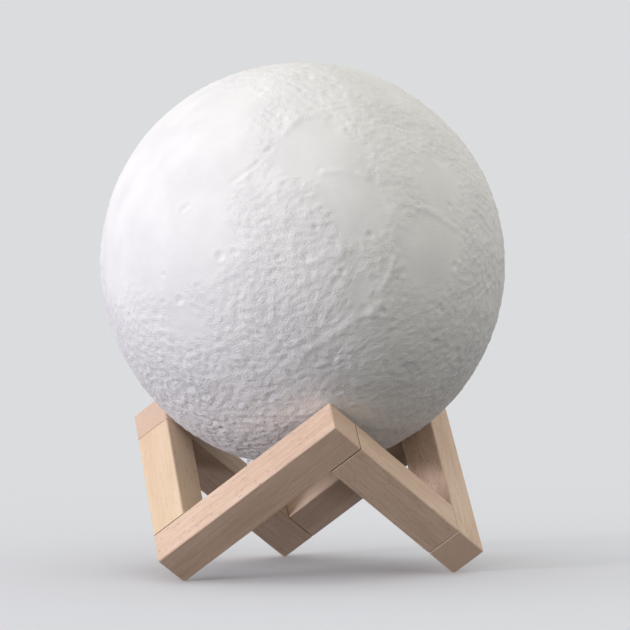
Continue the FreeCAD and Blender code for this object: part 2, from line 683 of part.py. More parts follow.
def touch_ring():
    """Bare metal ring that senses the finger."""
    body = new_body("touch_ring")
    revolve(body, "touch_ring", ring_outline("touch_inner", "touch_outer", None, "touch_thickness"))
    place(body, z=ref("touch_drop"))
    finish(body, "touch_ring")


def touch_contact():
    """Pin that joins the metal ring to the control board."""
    body = new_body("touch_contact")
    revolve(body, "touch_contact", [
        (None, None), ("contact_radius", None), ("contact_radius", "contact_head_low"),
        ("contact_head_radius", "contact_head_low"), ("contact_head_radius", "contact_length"),
        (None, "contact_length")])
    place(body, x=ref("touch_middle"), z=level("groove_depth"))
    finish(body, "touch_contact")


def indicator_lens():
    """Light pipe for the charging indicator."""
    body = new_body("indicator_lens")
    revolve(body, "indicator_lens", [
        (None, None), ("lens_radius", None), ("lens_radius", "cap_thickness"),
        ("lens_collar_radius", "cap_thickness"), ("lens_collar_radius", "lens_collar_top"),
        ("lens_radius", "lens_collar_top"), ("lens_radius", "lens_top"), (None, "lens_top")])
    place(body, y=ref("indicator_offset"), z=ref("cap_face_height"))
    finish(body, "indicator_lens")


def indicator_lamp():
    lamp = box("indicator_lamp_block", "lamp_length", "lamp_width", "lamp_height")
    place(lamp, x=f"-{ref('lamp_length')} / 2", y=f"{ref('indicator_offset')} - {ref('lamp_width')} / 2",
          z=level("lamp_level"))
    finish(lamp, "indicator_lamp")


# ---------------------------------------------------------------- charging socket

def charge_socket():
    """Round-ended metal shell of the charging socket, mouth down."""
    body = new_body("charge_socket")
    section = new_sketch(body, "socket_shell_section", "XY_Plane", "socket_inset")
    draw_stadium(section, "socket_round", "socket_span")
    draw_stadium(section, "socket_round_in", "socket_span")
    pad(body, "socket_shell", section, "socket_length")
    place(body, z=ref("cap_face_height"))
    finish(body, "charge_socket")


def socket_insulator():
    """Moulded block and contact tongue inside the socket."""
    body = new_body("socket_insulator")
    section = new_sketch(body, "insulator_section", "XY_Plane", "block_level")
    draw_stadium(section, "block_round", "socket_span")
    pad(body, "insulator_block", section, "insulator_height")
    tongue = body.newObject("PartDesign::AdditiveBox", "insulator_tongue")
    bind(tongue, Length="tongue_width", Width="tongue_thickness", Height="tongue_length")
    tongue.setExpression("Placement.Base.x", f"-{ref('tongue_width')} / 2")
    tongue.setExpression("Placement.Base.y", f"-{ref('tongue_thickness')} / 2")
    tongue.setExpression("Placement.Base.z", ref("tongue_level"))
    place(body, z=ref("cap_face_height"))
    doc.recompute()
    finish(body, "socket_insulator")


# ---------------------------------------------------------------- control board

def control_board():
    """Round board on the cap's posts."""
    body = new_body("control_board")
    revolve(body, "control_board", ring_outline(None, "board_radius", "board_level", "board_top"))
    hole_mouth = new_sketch(body, "board_hole_mouth", "XY_Plane", "board_top")
    draw_circle(hole_mouth, "screw_hole", None, "boss_circle")
    hole = pocket(body, "board_hole", hole_mouth, "board_thickness")
    repeat_round(body, "board_holes", hole, len(BOARD_SCREW_ANGLES))
    place(body, z=ref("cap_face_height"))
    finish(body, "control_board")


def control_chip():
    chip = box("control_chip_block", "chip_length", "chip_width", "chip_height")
    place(chip, x=f"-{ref('part_offset')} - {ref('chip_length')}", y=f"-{ref('chip_width')} / 2",
          z=level("board_top"))
    finish(chip, "control_chip")


def charge_coil():
    """Square coil with bevelled corners beside the chip."""
    body = new_body("charge_coil")
    block = body.newObject("PartDesign::AdditiveBox", "coil_block")
    bind(block, Length="coil_side", Width="coil_side", Height="coil_height")
    doc.recompute()
    upright = [f"Edge{index + 1}" for index, edge in enumerate(block.Shape.Edges)
               if round(edge.Curve.Direction.z)]
    corners = body.newObject("PartDesign::Chamfer", "coil_corners")
    corners.Base = (block, upright)
    bind(corners, Size="coil_corner")
    place(body, x=ref("part_offset"), y=f"-{ref('coil_side')} / 2", z=level("board_top"))
    doc.recompute()
    finish(body, "charge_coil")


def board_capacitors():
    """Row of equal capacitors behind the chip."""
    blocks = []
    for step in (-1, 0, 1):
        block = box(f"capacitor_{step + 2}", "capacitor_width", "capacitor_length", "capacitor_height")
        place(block, x=f"{step} * {ref('capacitor_pitch')} - {ref('capacitor_width')} / 2",
              y=f"-{ref('capacitor_row')} - {ref('capacitor_length')} / 2", z=level("board_top"))
        blocks.append(block)
    finish(group("capacitor_group", blocks), "board_capacitors")


def screw(name, shank_length, tip_level, angle, circle):
    """Small pan screw, tip down."""
    shank = cylinder(name + "_shank", "screw_radius", shank_length)
    head = cylinder(name + "_head", "screw_head_radius", "screw_head_height")
    place(head, z=ref(shank_length))
    whole = fuse(name, [shank, head])
    x, y = around(angle, ref(circle))
    place(whole, x, y, level(tip_level))
    return whole


def board_screws():
    screws = [screw(f"board_screw_{angle}", "board_screw_shank", "board_screw_low", angle, "boss_circle")
              for angle in BOARD_SCREW_ANGLES]
    finish(group("board_screw_group", screws), "board_screws")


# ---------------------------------------------------------------- housing and cell

def module_housing():
    """Tube that snaps into the cap's skirt, holds the cell and carries the light."""
    body = new_body("module_housing")
    revolve(body, "module_housing", [
        (None, "skirt_top"), ("spigot_inner", "skirt_top"), ("spigot_inner", "spigot_foot"),
        ("spigot_outer", "spigot_foot"), ("spigot_outer", "bead_low"), ("bead_outer", "bead_level"),
        ("spigot_outer", "bead_high"), ("spigot_outer", "skirt_top"), ("housing_outer", "skirt_top"),
        ("housing_outer", "rim_level"), ("housing_inner", "rim_level"), ("housing_inner", "floor_top"),
        (None, "floor_top")])
    for name, width, upright in (("cell_rib", "rib_width", True), ("screw_rib", "post_width", False)):
        rib = body.newObject("PartDesign::AdditiveBox", name)
        across, along = ("Length", "Width") if upright else ("Width", "Length")
        bind(rib, **{across: width, along: "rib_length", "Height": "rib_height"})
        side, outwards = ("x", "y") if upright else ("y", "x")
        rib.setExpression(f"Placement.Base.{side}", f"-{ref(width)} / 2")
        rib.setExpression(f"Placement.Base.{outwards}", ref("rib_inner"))
        rib.setExpression("Placement.Base.z", ref("floor_top"))
        doc.recompute()
        repeat_round(body, name + "s", rib, len(LIGHT_SCREW_ANGLES))
    pilot_mouth = new_sketch(body, "housing_pilot_mouth", "XY_Plane", "plate_level")
    draw_circle(pilot_mouth, "pilot_radius", "light_screw_circle", None)
    pilot = pocket(body, "housing_pilot", pilot_mouth, "pilot_depth")
    repeat_round(body, "housing_pilots", pilot, len(LIGHT_SCREW_ANGLES))
    cut_lead_holes(body, "housing", "floor_top", "floor_thickness")
    place(body, z=ref("cap_face_height"))
    finish(body, "module_housing")


def cut_lead_holes(body, name, top, depth, only_light=False):
    """Holes through a floor where the leads pass."""
    leads = [(angle, "light_lead_circle") for angle in LIGHT_LEAD_ANGLES]
    if not only_light:
        leads += [(angle, "cell_lead_circle") for angle in CELL_LEAD_ANGLES.values()]
    for angle, circle in leads:
        hole = body.newObject("PartDesign::SubtractiveCylinder", f"{name}_lead_hole_{angle}")
        bind(hole, Radius="lead_hole", Height=depth)
        x, y = around(angle, ref(circle))
        hole.setExpression("Placement.Base.x", x)
        hole.setExpression("Placement.Base.y", y)
        hole.setExpression("Placement.Base.z", f"{ref(top)} - {ref(depth)}")
        before = body.Shape.Volume
        doc.recompute()
        if not body.Shape.Volume < before:
            raise RuntimeError(f"{name} has no lead hole at {angle}")


def battery_cell():
    """Round lithium cell in its sleeve, button up."""
    body = new_body("battery_cell")
    revolve(body, "battery_cell", [
        (None, "cell_foot"), ("cell_edge_radius", "cell_foot"), ("cell_radius", "cell_edge_low"),
        ("cell_radius", "cell_edge_high"), ("cell_edge_radius", "cell_shoulder"),
        ("cell_button_radius", "cell_shoulder"), ("cell_button_radius", "cell_top"), (None, "cell_top")])
    place(body, z=ref("cap_face_height"))
    finish(body, "battery_cell")


def cell_pads():
    """Foam pads that hold the cell between the floor and the heat plate."""
    pads = []
    for name, foot in (("lower_pad", "floor_top"), ("upper_pad", "cell_top")):
        foam = cylinder(name, "pad_radius", "pad_thickness")
        place(foam, z=level(foot))
        pads.append(foam)
    finish(group("pad_group", pads), "cell_pads")


def cell_leads():
    """Two leads: up from the control board beside the cell, then in to its side."""
    for name, angle in CELL_LEAD_ANGLES.items():
        upright = cylinder(name + "_upright", "lead_radius", "cell_lead_height")
        place(upright, x=ref("cell_lead_circle"))
        bend = doc.addObject("Part::Torus", name + "_bend")
        bind(bend, Radius1="lead_bend", Radius2="lead_radius")
        bend.Angle3 = 90
        place(bend, x=ref("cell_lead_reach"), z=ref("cell_lead_height"),
              rotation=FreeCAD.Rotation(X_AXIS, 90))
        tail = cylinder(name + "_tail", "lead_radius", "cell_lead_tail")
        place(tail, x=ref("cell_lead_reach"), z=f"{ref('cell_lead_height')} + {ref('lead_bend')}",
              rotation=FreeCAD.Rotation(Y_AXIS, -90))
        lead = fuse(name + "_whole", [upright, bend, tail])
        place(lead, z=level("board_top"), rotation=turn_about_z(angle))
        finish(lead, name)


def light_leads():
    """Two leads from the control board up to the light board."""
    leads = []
    for angle in LIGHT_LEAD_ANGLES:
        lead = cylinder(f"light_lead_{angle}", "lead_radius", "light_lead_height")
        x, y = around(angle, ref("light_lead_circle"))
        place(lead, x, y, level("board_top"))
        leads.append(lead)
    finish(group("light_lead_group", leads), "light_leads")


# ---------------------------------------------------------------- light

def heat_plate():
    """Metal plate on the housing's ribs."""
    body = new_body("heat_plate")
    revolve(body, "heat_plate", ring_outline(None, "plate_radius", "plate_level", "plate_top"))
    screw_holes(body, "heat_plate", "plate_top", "plate_thickness")
    cut_lead_holes(body, "heat_plate", "plate_top", "plate_thickness", only_light=True)
    place(body, z=ref("cap_face_height"))
    finish(body, "heat_plate")


def screw_holes(body, name, top, depth):
    """Holes for the screws that hold the light board and the plate."""
    mouth = new_sketch(body, name + "_hole_mouth", "XY_Plane", top)
    draw_circle(mouth, "screw_hole", "light_screw_circle", None)
    hole = pocket(body, name + "_hole", mouth, depth)
    repeat_round(body, name + "_holes", hole, len(LIGHT_SCREW_ANGLES))


def light_board():
    """Round board that carries the light chips."""
    body = new_body("light_board")
    revolve(body, "light_board", ring_outline(None, "light_board_radius", "plate_top", "light_board_top"))
    screw_holes(body, "light_board", "light_board_top", "light_board_thickness")
    place(body, z=ref("cap_face_height"))
    finish(body, "light_board")


def light_chips():
    """Even ring of light chips."""
    count = int(size("light_count"))
    chips = []
    for index in range(count):
        angle = index * 360 / count
        chip = box(f"light_chip_{index + 1}", "light_width", "light_length", "light_height")
        x, y = around(angle, ref("light_inset"), f"-{ref('light_length')} / 2")
        place(chip, x, y, level("light_board_top"), turn_about_z(angle))
        chips.append(chip)
    finish(group("light_chip_group", chips), "light_chips")


def light_screws():
    screws = [screw(f"light_screw_{angle}", "light_screw_shank", "light_screw_reach", angle,
                    "light_screw_circle") for angle in LIGHT_SCREW_ANGLES]
    finish(group("light_screw_group", screws), "light_screws")


def diffuser_dome():
    """Frosted half ball on a spigot that pushes into the housing."""
    outside = sphere("dome_outside", "housing_outer")
    inside = sphere("dome_inside", "dome_inner")
    for ball in (outside, inside):
        ball.Angle1 = 0
    shell = cut("dome_shell", outside, inside)
    place(shell, z=ref("rim_level"))
    spigot_body = new_body("dome_spigot")
    revolve(spigot_body, "dome_spigot", [
        ("spigot_dome_inner", "plate_top"), ("spigot_dome_outer", "plate_top"),
        ("spigot_dome_outer", "rim_level"), ("dome_web_outer", "rim_level"),
        ("dome_web_outer", "dome_web_top"), ("spigot_dome_inner", "dome_web_top")])
    dome = fuse("dome_whole", [shell, spigot_body])
    place(dome, z=ref("cap_face_height"))
    finish(dome, "diffuser_dome")


def make_globe():
    globe_shell()
    neck_ring()
    light_seal()


def make_module():
    base_cap()
    touch_ring()
    touch_contact()
    indicator_lens()
    indicator_lamp()
    charge_socket()
    socket_insulator()
    control_board()
    control_chip()
    charge_coil()
    board_capacitors()
    board_screws()
    module_housing()
    battery_cell()
    cell_pads()
    cell_leads()
    light_leads()
    heat_plate()
    light_board()
    light_chips()
    light_screws()
    diffuser_dome()


# ---------------------------------------------------------------- checks and export

def check_document():
    """Stops if any object failed or any sub-part's shape is empty or faulty."""
    doc.recompute()
    for item in doc.Objects:
        if "Invalid" in item.State or "Error" in item.State:
            raise RuntimeError(f"{item.Name} is {item.State}")
    for item in finished:
        if item.Shape.isNull() or not item.Shape.isValid():
            raise RuntimeError(f"{item.Label} has no valid shape")


def export_parts():
    os.makedirs("parts", exist_ok=True)
    for item in finished:
        item.Shape.exportStep(f"parts/{item.Label}.step")
        print(f"{item.Label}: {len(item.Shape.Solids)} solid(s), {item.Shape.Volume:.1f} mm3")


make_stand()
make_globe()
make_module()
check_document()
export_parts()
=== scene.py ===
"""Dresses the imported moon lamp: its printed globe, its beech stand and its screwed-in light module.

The globe gets a real relief in place of the smooth shell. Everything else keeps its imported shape
and gets a finish of its own. Lengths in the classes are millimetres; Blender's units are metres.
"""

import logging
import math
from dataclasses import dataclass, field, replace
from enum import Enum
from typing import Any

import bpy
import numpy as np
from mathutils import Matrix, Vector


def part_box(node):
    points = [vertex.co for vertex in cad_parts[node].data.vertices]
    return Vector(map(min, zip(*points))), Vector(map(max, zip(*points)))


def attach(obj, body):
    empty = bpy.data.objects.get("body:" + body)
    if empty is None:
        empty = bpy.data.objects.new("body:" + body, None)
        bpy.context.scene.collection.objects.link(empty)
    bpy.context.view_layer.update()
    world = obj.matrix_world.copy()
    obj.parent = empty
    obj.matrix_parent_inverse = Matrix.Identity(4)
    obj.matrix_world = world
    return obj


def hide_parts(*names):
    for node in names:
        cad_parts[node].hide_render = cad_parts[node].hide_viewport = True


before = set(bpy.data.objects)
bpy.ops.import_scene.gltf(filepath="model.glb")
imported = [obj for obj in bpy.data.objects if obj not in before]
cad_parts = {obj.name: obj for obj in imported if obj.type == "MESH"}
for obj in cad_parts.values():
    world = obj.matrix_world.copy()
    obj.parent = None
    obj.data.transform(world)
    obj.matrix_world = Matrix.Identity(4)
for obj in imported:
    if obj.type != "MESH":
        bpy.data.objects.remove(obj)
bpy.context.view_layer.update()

LOG = logging.getLogger("moon_lamp")
MM = 0.001

Tree = bpy.types.NodeTree
Socket = bpy.types.NodeSocket
Feed = Socket | float               # what can feed a node's input


# ---------------------------------------------------------------- colours, nodes and objects

def linear(code: str) -> tuple[float, float, float, float]:
    """Turns an sRGB hex colour into Blender's linear one.

    Args:
        code: the colour as "#RRGGBB".

    Returns:
        Linear red, green and blue, and an alpha of 1.
    """
    channels = [int(code[start:start + 2], 16) / 255 for start in (1, 3, 5)]
    red, green, blue = (c / 12.92 if c <= 0.04045 else ((c + 0.055) / 1.055) ** 2.4
                        for c in channels)
    return red, green, blue, 1.0


def add_node(tree: Tree, kind: str, settings: dict[str, Any] | None = None,
             sockets: dict[str | int, Any] | None = None) -> bpy.types.Node:
    """Adds one node with its settings and its links.

    Args:
        tree: the node tree that receives the node.
        kind: Blender's type name of the node.
        settings: the node's own options by name.
        sockets: for an input's name or number, its value or the output that feeds it.

    Returns:
        The new node.
    """
    node = tree.nodes.new(kind)
    for name, value in (settings or {}).items():
        setattr(node, name, value)
    for key, value in (sockets or {}).items():
        if isinstance(value, Socket):
            tree.links.new(value, node.inputs[key])
        else:
            node.inputs[key].default_value = value
    return node


def set_ramp(ramp: bpy.types.Node, stops: list[tuple[float, str]]) -> None:
    """Gives a colour ramp its stops.

    Args:
        ramp: the Color Ramp node, which comes with two stops.
        stops: two places from 0 to 1, each with its sRGB hex colour, in rising order.
    """
    for element, (place, code) in zip(ramp.color_ramp.elements, stops):
        element.position = place
        element.color = linear(code)


def new_material(name: str) -> tuple[bpy.types.Material, Tree, bpy.types.Node]:
    """Makes a material that holds only its Principled shader and its output.

    Args:
        name: the material's name.

    Returns:
        The material, its node tree and the shader node.
    """
    material = bpy.data.materials.new(name)
    material.use_nodes = True
    tree = material.node_tree
    tree.nodes.clear()
    shader = add_node(tree, "ShaderNodeBsdfPrincipled")
    add_node(tree, "ShaderNodeOutputMaterial", sockets={"Surface": shader.outputs["BSDF"]})
    return material, tree, shader


def wire_shader(tree: Tree, shader: bpy.types.Node, colour: Socket, pattern: Socket,
                roughness: tuple[float, float], height: Socket, depth: float) -> None:
    """Feeds a shader its colour, and lets patterns change its roughness and raise its surface.

    Args:
        tree: the material's node tree.
        shader: the Principled shader.
        colour: the output that carries the colour.
        pattern: the output that changes the roughness.
        roughness: the roughness where the pattern is 0 and where it is 1.
        height: the output that raises the surface.
        depth: how far a height of 1 raises it, mm.
    """
    polish = add_node(tree, "ShaderNodeMapRange", sockets={
        "Value": pattern, "To Min": roughness[0], "To Max": roughness[1]})
    bump = add_node(tree, "ShaderNodeBump", sockets={
        "Strength": 1.0, "Distance": depth * MM, "Height": height})
    for name, output in (("Base Color", colour), ("Roughness", polish.outputs["Result"]),
                         ("Normal", bump.outputs["Normal"])):
        tree.links.new(output, shader.inputs[name])


def dress(node_name: str, material: bpy.types.Material) -> None:
    """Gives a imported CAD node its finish.

    Args:
        node_name: the CAD node's name.
        material: its finish.
    """
    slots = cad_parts[node_name].data.materials
    slots.clear()
    slots.append(material)


def add_object(name: str, data: bpy.types.ID) -> bpy.types.Object:
    """Makes an object and links it to the scene.

    Args:
        name: the object's name.
        data: its mesh, lamp or camera.

    Returns:
        The object, at the origin.
    """
    made = bpy.data.objects.new(name, data)
    bpy.context.scene.collection.objects.link(made)
    return made


def way(lon: float, lat: float) -> np.ndarray:
    """Works out the direction of a place on the globe, or of a lamp.

    Args:
        lon: degrees from the front towards +X.
        lat: degrees above the level.

    Returns:
        The direction, of length 1.
    """
    across, up = math.radians(lon), math.radians(lat)
    return np.array([math.sin(across) * math.cos(up), -math.cos(across) * math.cos(up),
                     math.sin(up)])


# ---------------------------------------------------------------- finishes

class Pattern(Enum):
    """How a surface was made, which decides its pattern."""

    MOULDED = "moulded"      # fine even texture of a spark-eroded mould
    PRINTED = "printed"      # stacked layers
    TURNED = "turned"        # circles about the upright axis
    BRUSHED = "brushed"      # straight lines along X
    CELLS = "cells"          # open foam
    TRACKS = "tracks"        # copper tracks under solder mask


@dataclass(frozen=True)
class Finish:
    """A man-made surface with one pattern, read from Object coordinates."""

    name: str
    colour: str
    shade: str                      # the pattern's second colour
    pattern: Pattern
    grain: float                    # size of the pattern, mm
    relief: float                   # depth of the pattern, mm
    roughness: float
    metallic: float = 0.0
    ior: float = 1.5
    transmission: float = 0.0
    spread: float = 0.08            # how much the pattern changes the roughness, each way

    def material(self) -> bpy.types.Material:
        """Builds the finish's material.

        Returns:
            The material, with colour, roughness and bump from the pattern.
        """
        material, tree, shader = new_material(self.name)
        for socket, value in (("Metallic", self.metallic), ("IOR", self.ior),
                              ("Transmission Weight", self.transmission)):
            shader.inputs[socket].default_value = value
        height = self.height(tree)
        shades = add_node(tree, "ShaderNodeValToRGB", sockets={"Fac": height})
        set_ramp(shades, [(0.3, self.shade), (0.7, self.colour)])
        ends = (self.roughness + self.spread, self.roughness - self.spread)
        wire_shader(tree, shader, shades.outputs["Color"], height, ends, height, self.relief)
        return material

    def height(self, tree: Tree) -> Socket:
        """Builds the pattern's height, from 0 to 1.

        Args:
            tree: the material's node tree.

        Returns:
            The output that carries the height.
        """
        place = add_node(tree, "ShaderNodeTexCoord").outputs["Object"]
        scale = 1 / (self.grain * MM)
        if self.pattern is Pattern.CELLS:
            cells = add_node(tree, "ShaderNodeTexVoronoi", sockets={
                "Vector": place, "Scale": scale})
            return cells.outputs["Distance"]
        if self.pattern is Pattern.TRACKS:
            tracks = add_node(tree, "ShaderNodeTexBrick", {"offset": 0.5}, {
                "Vector": place, "Color1": (1, 1, 1, 1), "Color2": (0.8, 0.8, 0.8, 1),
                "Mortar": (0, 0, 0, 1), "Scale": scale, "Mortar Size": 0.08, "Brick Width": 2.4,
                "Row Height": 0.8})
            return tracks.outputs["Color"]
        # how closely the pattern's steps follow one another along X, Y and Z
        squeeze = {Pattern.BRUSHED: (0.03, 1, 1), Pattern.PRINTED: (0.02, 0.02, 1),
                   Pattern.MOULDED: (1, 1, 1), Pattern.TURNED: (1, 1, 0)}[self.pattern]
        squeezed = add_node(tree, "ShaderNodeVectorMath", {"operation": "MULTIPLY"},
                            {0: place, 1: squeeze}).outputs["Vector"]
        if self.pattern is Pattern.TURNED:
            radius = add_node(tree, "ShaderNodeVectorMath", {"operation": "LENGTH"}, {0: squeezed})
            return add_node(tree, "ShaderNodeTexNoise", {"noise_dimensions": "1D"}, {
                "W": radius.outputs["Value"], "Scale": scale, "Detail": 3.0}).outputs[0]
        return add_node(tree, "ShaderNodeTexNoise", sockets={
            "Vector": squeezed, "Scale": scale, "Detail": 3.0}).outputs[0]


@dataclass(frozen=True)
class PlanedBeech:
    """Beech, planed and sanded, unvarnished: pinkish cream, with short dark ray flecks along the
    grain on its sides and a finely dotted, darker end grain."""

    name: str
    grain: Vector                   # the bar's directions in the row frame
    across: Vector
    seed: int
    pale: str = "#EACFBB"
    deep: str = "#D2B39B"
    fleck: str = "#A67A5E"
    end: str = "#DDC1AC"
    end_share: float = 0.75         # how much of its colour an end gets
    end_slant: tuple[float, float] = (0.75, 0.95)   # cosines between which a face becomes an end
    fleck_width: float = 0.62       # spacing of the flecks, mm
    fleck_length: float = 3.4
    fleck_sizes: tuple[float, float] = (0.02, 0.32)     # least and most, as a share of the spacing
    fleck_edge: float = 0.1         # over how much of the spacing its colour fades
    fleck_share: float = 0.5        # how much of its colour a fleck gets
    fleck_sink: float = 0.8         # how deep it lies, as a share of the fibres' relief
    fibre_width: float = 0.42       # real fibres are finer than the picture's points
    fibre_length: float = 9.0
    cloud_width: float = 9.0        # slow changes of tone
    cloud_length: float = 46.0
    shares: tuple[float, float, float] = (0.54, 0.4, 0.06)  # fibres, clouds and rings in the tone
    tones: tuple[float, float] = (0.36, 0.62)       # where the tone is all deep and all pale
    ring_width: float = 2.8         # growth rings
    ring_bend: float = 4.0          # how far the clouds bend them
    pith: tuple[float, float] = (31.0, -24.0)   # where the tree's centre lay, from the bar's axis
    joints: tuple[float, ...] = ()  # where the bar's ends lie along the grain
    joint_shade_width: float = 0.24
    joint: str = "#50362A"          # painted shade of the hairline gap beside an end, with the glue and dirt that such an edge picks up
    cut: tuple[float, float, float] = (31.0, 17.0, 400.0)   # from one bar's place to the next
    relief: float = 0.05            # depth of the fibres
    roughness: tuple[float, float] = (0.66, 0.5)    # between the fibres and on them
    ior: float = 1.45
    specular: float = 0.35

    def material(self) -> bpy.types.Material:
        """Builds the beech of one bar.

        Returns:
            The material, with its pattern turned into the bar's own directions.
        """
        material, tree, shader = new_material(self.name)
        shader.inputs["IOR"].default_value = self.ior
        shader.inputs["Specular IOR Level"].default_value = self.specular
        along = self.bar_place(tree)
        fibres = add_node(tree, "ShaderNodeTexNoise", sockets={
            "Vector": self.stretch(tree, along, self.fibre_width, self.fibre_length),
            "Scale": 1.0, "Detail": 2.0, "Roughness": 0.6}).outputs[0]
        clouds = add_node(tree, "ShaderNodeTexNoise", sockets={
            "Vector": self.stretch(tree, along, self.cloud_width, self.cloud_length),
            "Scale": 1.0, "Detail": 1.0}).outputs[0]
        tone: Feed = 0.0
        for layer, weight in zip((fibres, clouds, self.rings(tree, along, clouds)), self.shares):
            tone = add_node(tree, "ShaderNodeMath", {"operation": "MULTIPLY_ADD"},
                            {0: layer, 1: weight, 2: tone}).outputs[0]
        plain = add_node(tree, "ShaderNodeValToRGB", sockets={"Fac": tone})
        set_ramp(plain, list(zip(self.tones, (self.deep, self.pale))))
        colour = plain.outputs["Color"]
        flecks = self.flecks(tree, along)
        # end grain and flecks are the wood's own colour; the hairline beside the ends is painted
        # shade, with some glue and dirt
        for mask, code in ((self.end_grain(tree), self.end), (flecks, self.fleck),
                           (self.painted_joint_shade(tree), self.joint)):
            colour = add_node(tree, "ShaderNodeMix", {"data_type": "RGBA"}, {
                "Factor": mask, 6: colour, 7: linear(code)}).outputs[2]
        sunk = add_node(tree, "ShaderNodeMath", {"operation": "MULTIPLY_ADD"},
                        {0: flecks, 1: -self.fleck_sink, 2: fibres}).outputs[0]
        wire_shader(tree, shader, colour, fibres, self.roughness, sunk, self.relief)
        return material

    def bar_place(self, tree: Tree) -> Socket:
        """Turns Object coordinates so that Z runs along the grain.

        Args:
            tree: the material's node tree.

        Returns:
            The output that carries the place, moved so that each bar is cut from its own spot.
        """
        turn = Matrix((self.across, self.grain.cross(self.across), self.grain)).to_euler("XYZ")
        spot = tuple(step * MM * self.seed for step in self.cut)
        place = add_node(tree, "ShaderNodeTexCoord").outputs["Object"]
        return add_node(tree, "ShaderNodeMapping", {"vector_type": "POINT"}, {
            "Vector": place, "Rotation": tuple(turn), "Location": spot}).outputs["Vector"]

    def stretch(self, tree: Tree, place: Socket, width: float, length: float) -> Socket:
        """Scales a place so that one pattern step is width across the grain and length along it."""
        return add_node(tree, "ShaderNodeVectorMath", {"operation": "MULTIPLY"}, {
            0: place, 1: (1 / (width * MM), 1 / (width * MM), 1 / (length * MM))}).outputs["Vector"]

    def rings(self, tree: Tree, place: Socket, wander: Socket) -> Socket:
        """Builds faint growth rings about the pith.

        Args:
            tree: the material's node tree.
            place: the place in the bar's own directions.
            wander: the slow noise that bends the rings.

        Returns:
            The output that carries the rings, from 0 to 1.
        """
        moved = add_node(tree, "ShaderNodeVectorMath", {"operation": "MULTIPLY_ADD"}, {
            0: place, 1: (1, 1, 0), 2: (self.pith[0] * MM, self.pith[1] * MM, 0)})
        radius = add_node(tree, "ShaderNodeVectorMath", {"operation": "LENGTH"},
                          {0: moved.outputs["Vector"]}).outputs["Value"]
        bent = add_node(tree, "ShaderNodeMath", {"operation": "MULTIPLY_ADD"},
                        {0: wander, 1: self.ring_bend * MM, 2: radius}).outputs[0]
        steps = add_node(tree, "ShaderNodeMath", {"operation": "MULTIPLY"},
                         {0: bent, 1: 1 / (self.ring_width * MM)}).outputs[0]
        return add_node(tree, "ShaderNodeMath", {"operation": "FRACT"}, {0: steps}).outputs[0]

    def flecks(self, tree: Tree, place: Socket) -> Socket:
        """Builds short dark dashes along the grain, dots on an end, each with its own size.

        Args:
            tree: the material's node tree.
            place: the place in the bar's own directions.

        Returns:
            The output that says how much of its colour a fleck gets, 0 beside it.
        """
        cells = add_node(tree, "ShaderNodeTexVoronoi", sockets={
            "Vector": self.stretch(tree, place, self.fleck_width, self.fleck_length), "Scale": 1.0,
            "Randomness": 1.0})
        pick = add_node(tree, "ShaderNodeSeparateColor", sockets={"Color": cells.outputs["Color"]})
        least, most = self.fleck_sizes
        reach = add_node(tree, "ShaderNodeMapRange", sockets={
            "Value": pick.outputs["Red"], "To Min": least, "To Max": most})
        inside = add_node(tree, "ShaderNodeMath", {"operation": "SUBTRACT"},
                          {0: reach.outputs["Result"], 1: cells.outputs["Distance"]})
        edge = add_node(tree, "ShaderNodeMapRange", sockets={
            "Value": inside.outputs[0], "From Max": self.fleck_edge, "To Max": self.fleck_share})
        return edge.outputs["Result"]

    def end_grain(self, tree: Tree) -> Socket:
        """Marks where the surface cuts across the grain.

        Args:
            tree: the material's node tree.

        Returns:
            The output that says how much of its colour an end gets, 0 on the sides.
        """
        normal = add_node(tree, "ShaderNodeTexCoord").outputs["Normal"]
        dot = add_node(tree, "ShaderNodeVectorMath", {"operation": "DOT_PRODUCT"},
                       {0: normal, 1: tuple(self.grain)}).outputs["Value"]
        size = add_node(tree, "ShaderNodeMath", {"operation": "ABSOLUTE"}, {0: dot}).outputs[0]
        return add_node(tree, "ShaderNodeMapRange", sockets={
            "Value": size, "From Min": self.end_slant[0], "From Max": self.end_slant[1],
            "To Max": self.end_share}).outputs["Result"]

    def painted_joint_shade(self, tree: Tree) -> Feed:
        """Marks the hairline beside the bar's ends, where the gap's shade is painted.

        Args:
            tree: the material's node tree.

        Returns:
            The output that is 1 in the hairline's painted shade, or 0 for a bar that butts against
            nothing.
        """
        place = add_node(tree, "ShaderNodeTexCoord").outputs["Object"]
        along = add_node(tree, "ShaderNodeVectorMath", {"operation": "DOT_PRODUCT"},
                         {0: place, 1: tuple(self.grain)}).outputs["Value"]
        nearest: Feed = 0.0
        for spot in self.joints:
            inside = add_node(tree, "ShaderNodeMath", {"operation": "COMPARE"}, {
                0: along, 1: spot * MM, 2: self.joint_shade_width * MM}).outputs[0]
            nearest = add_node(tree, "ShaderNodeMath", {"operation": "MAXIMUM"},
                               {0: nearest, 1: inside}).outputs[0]
        return nearest


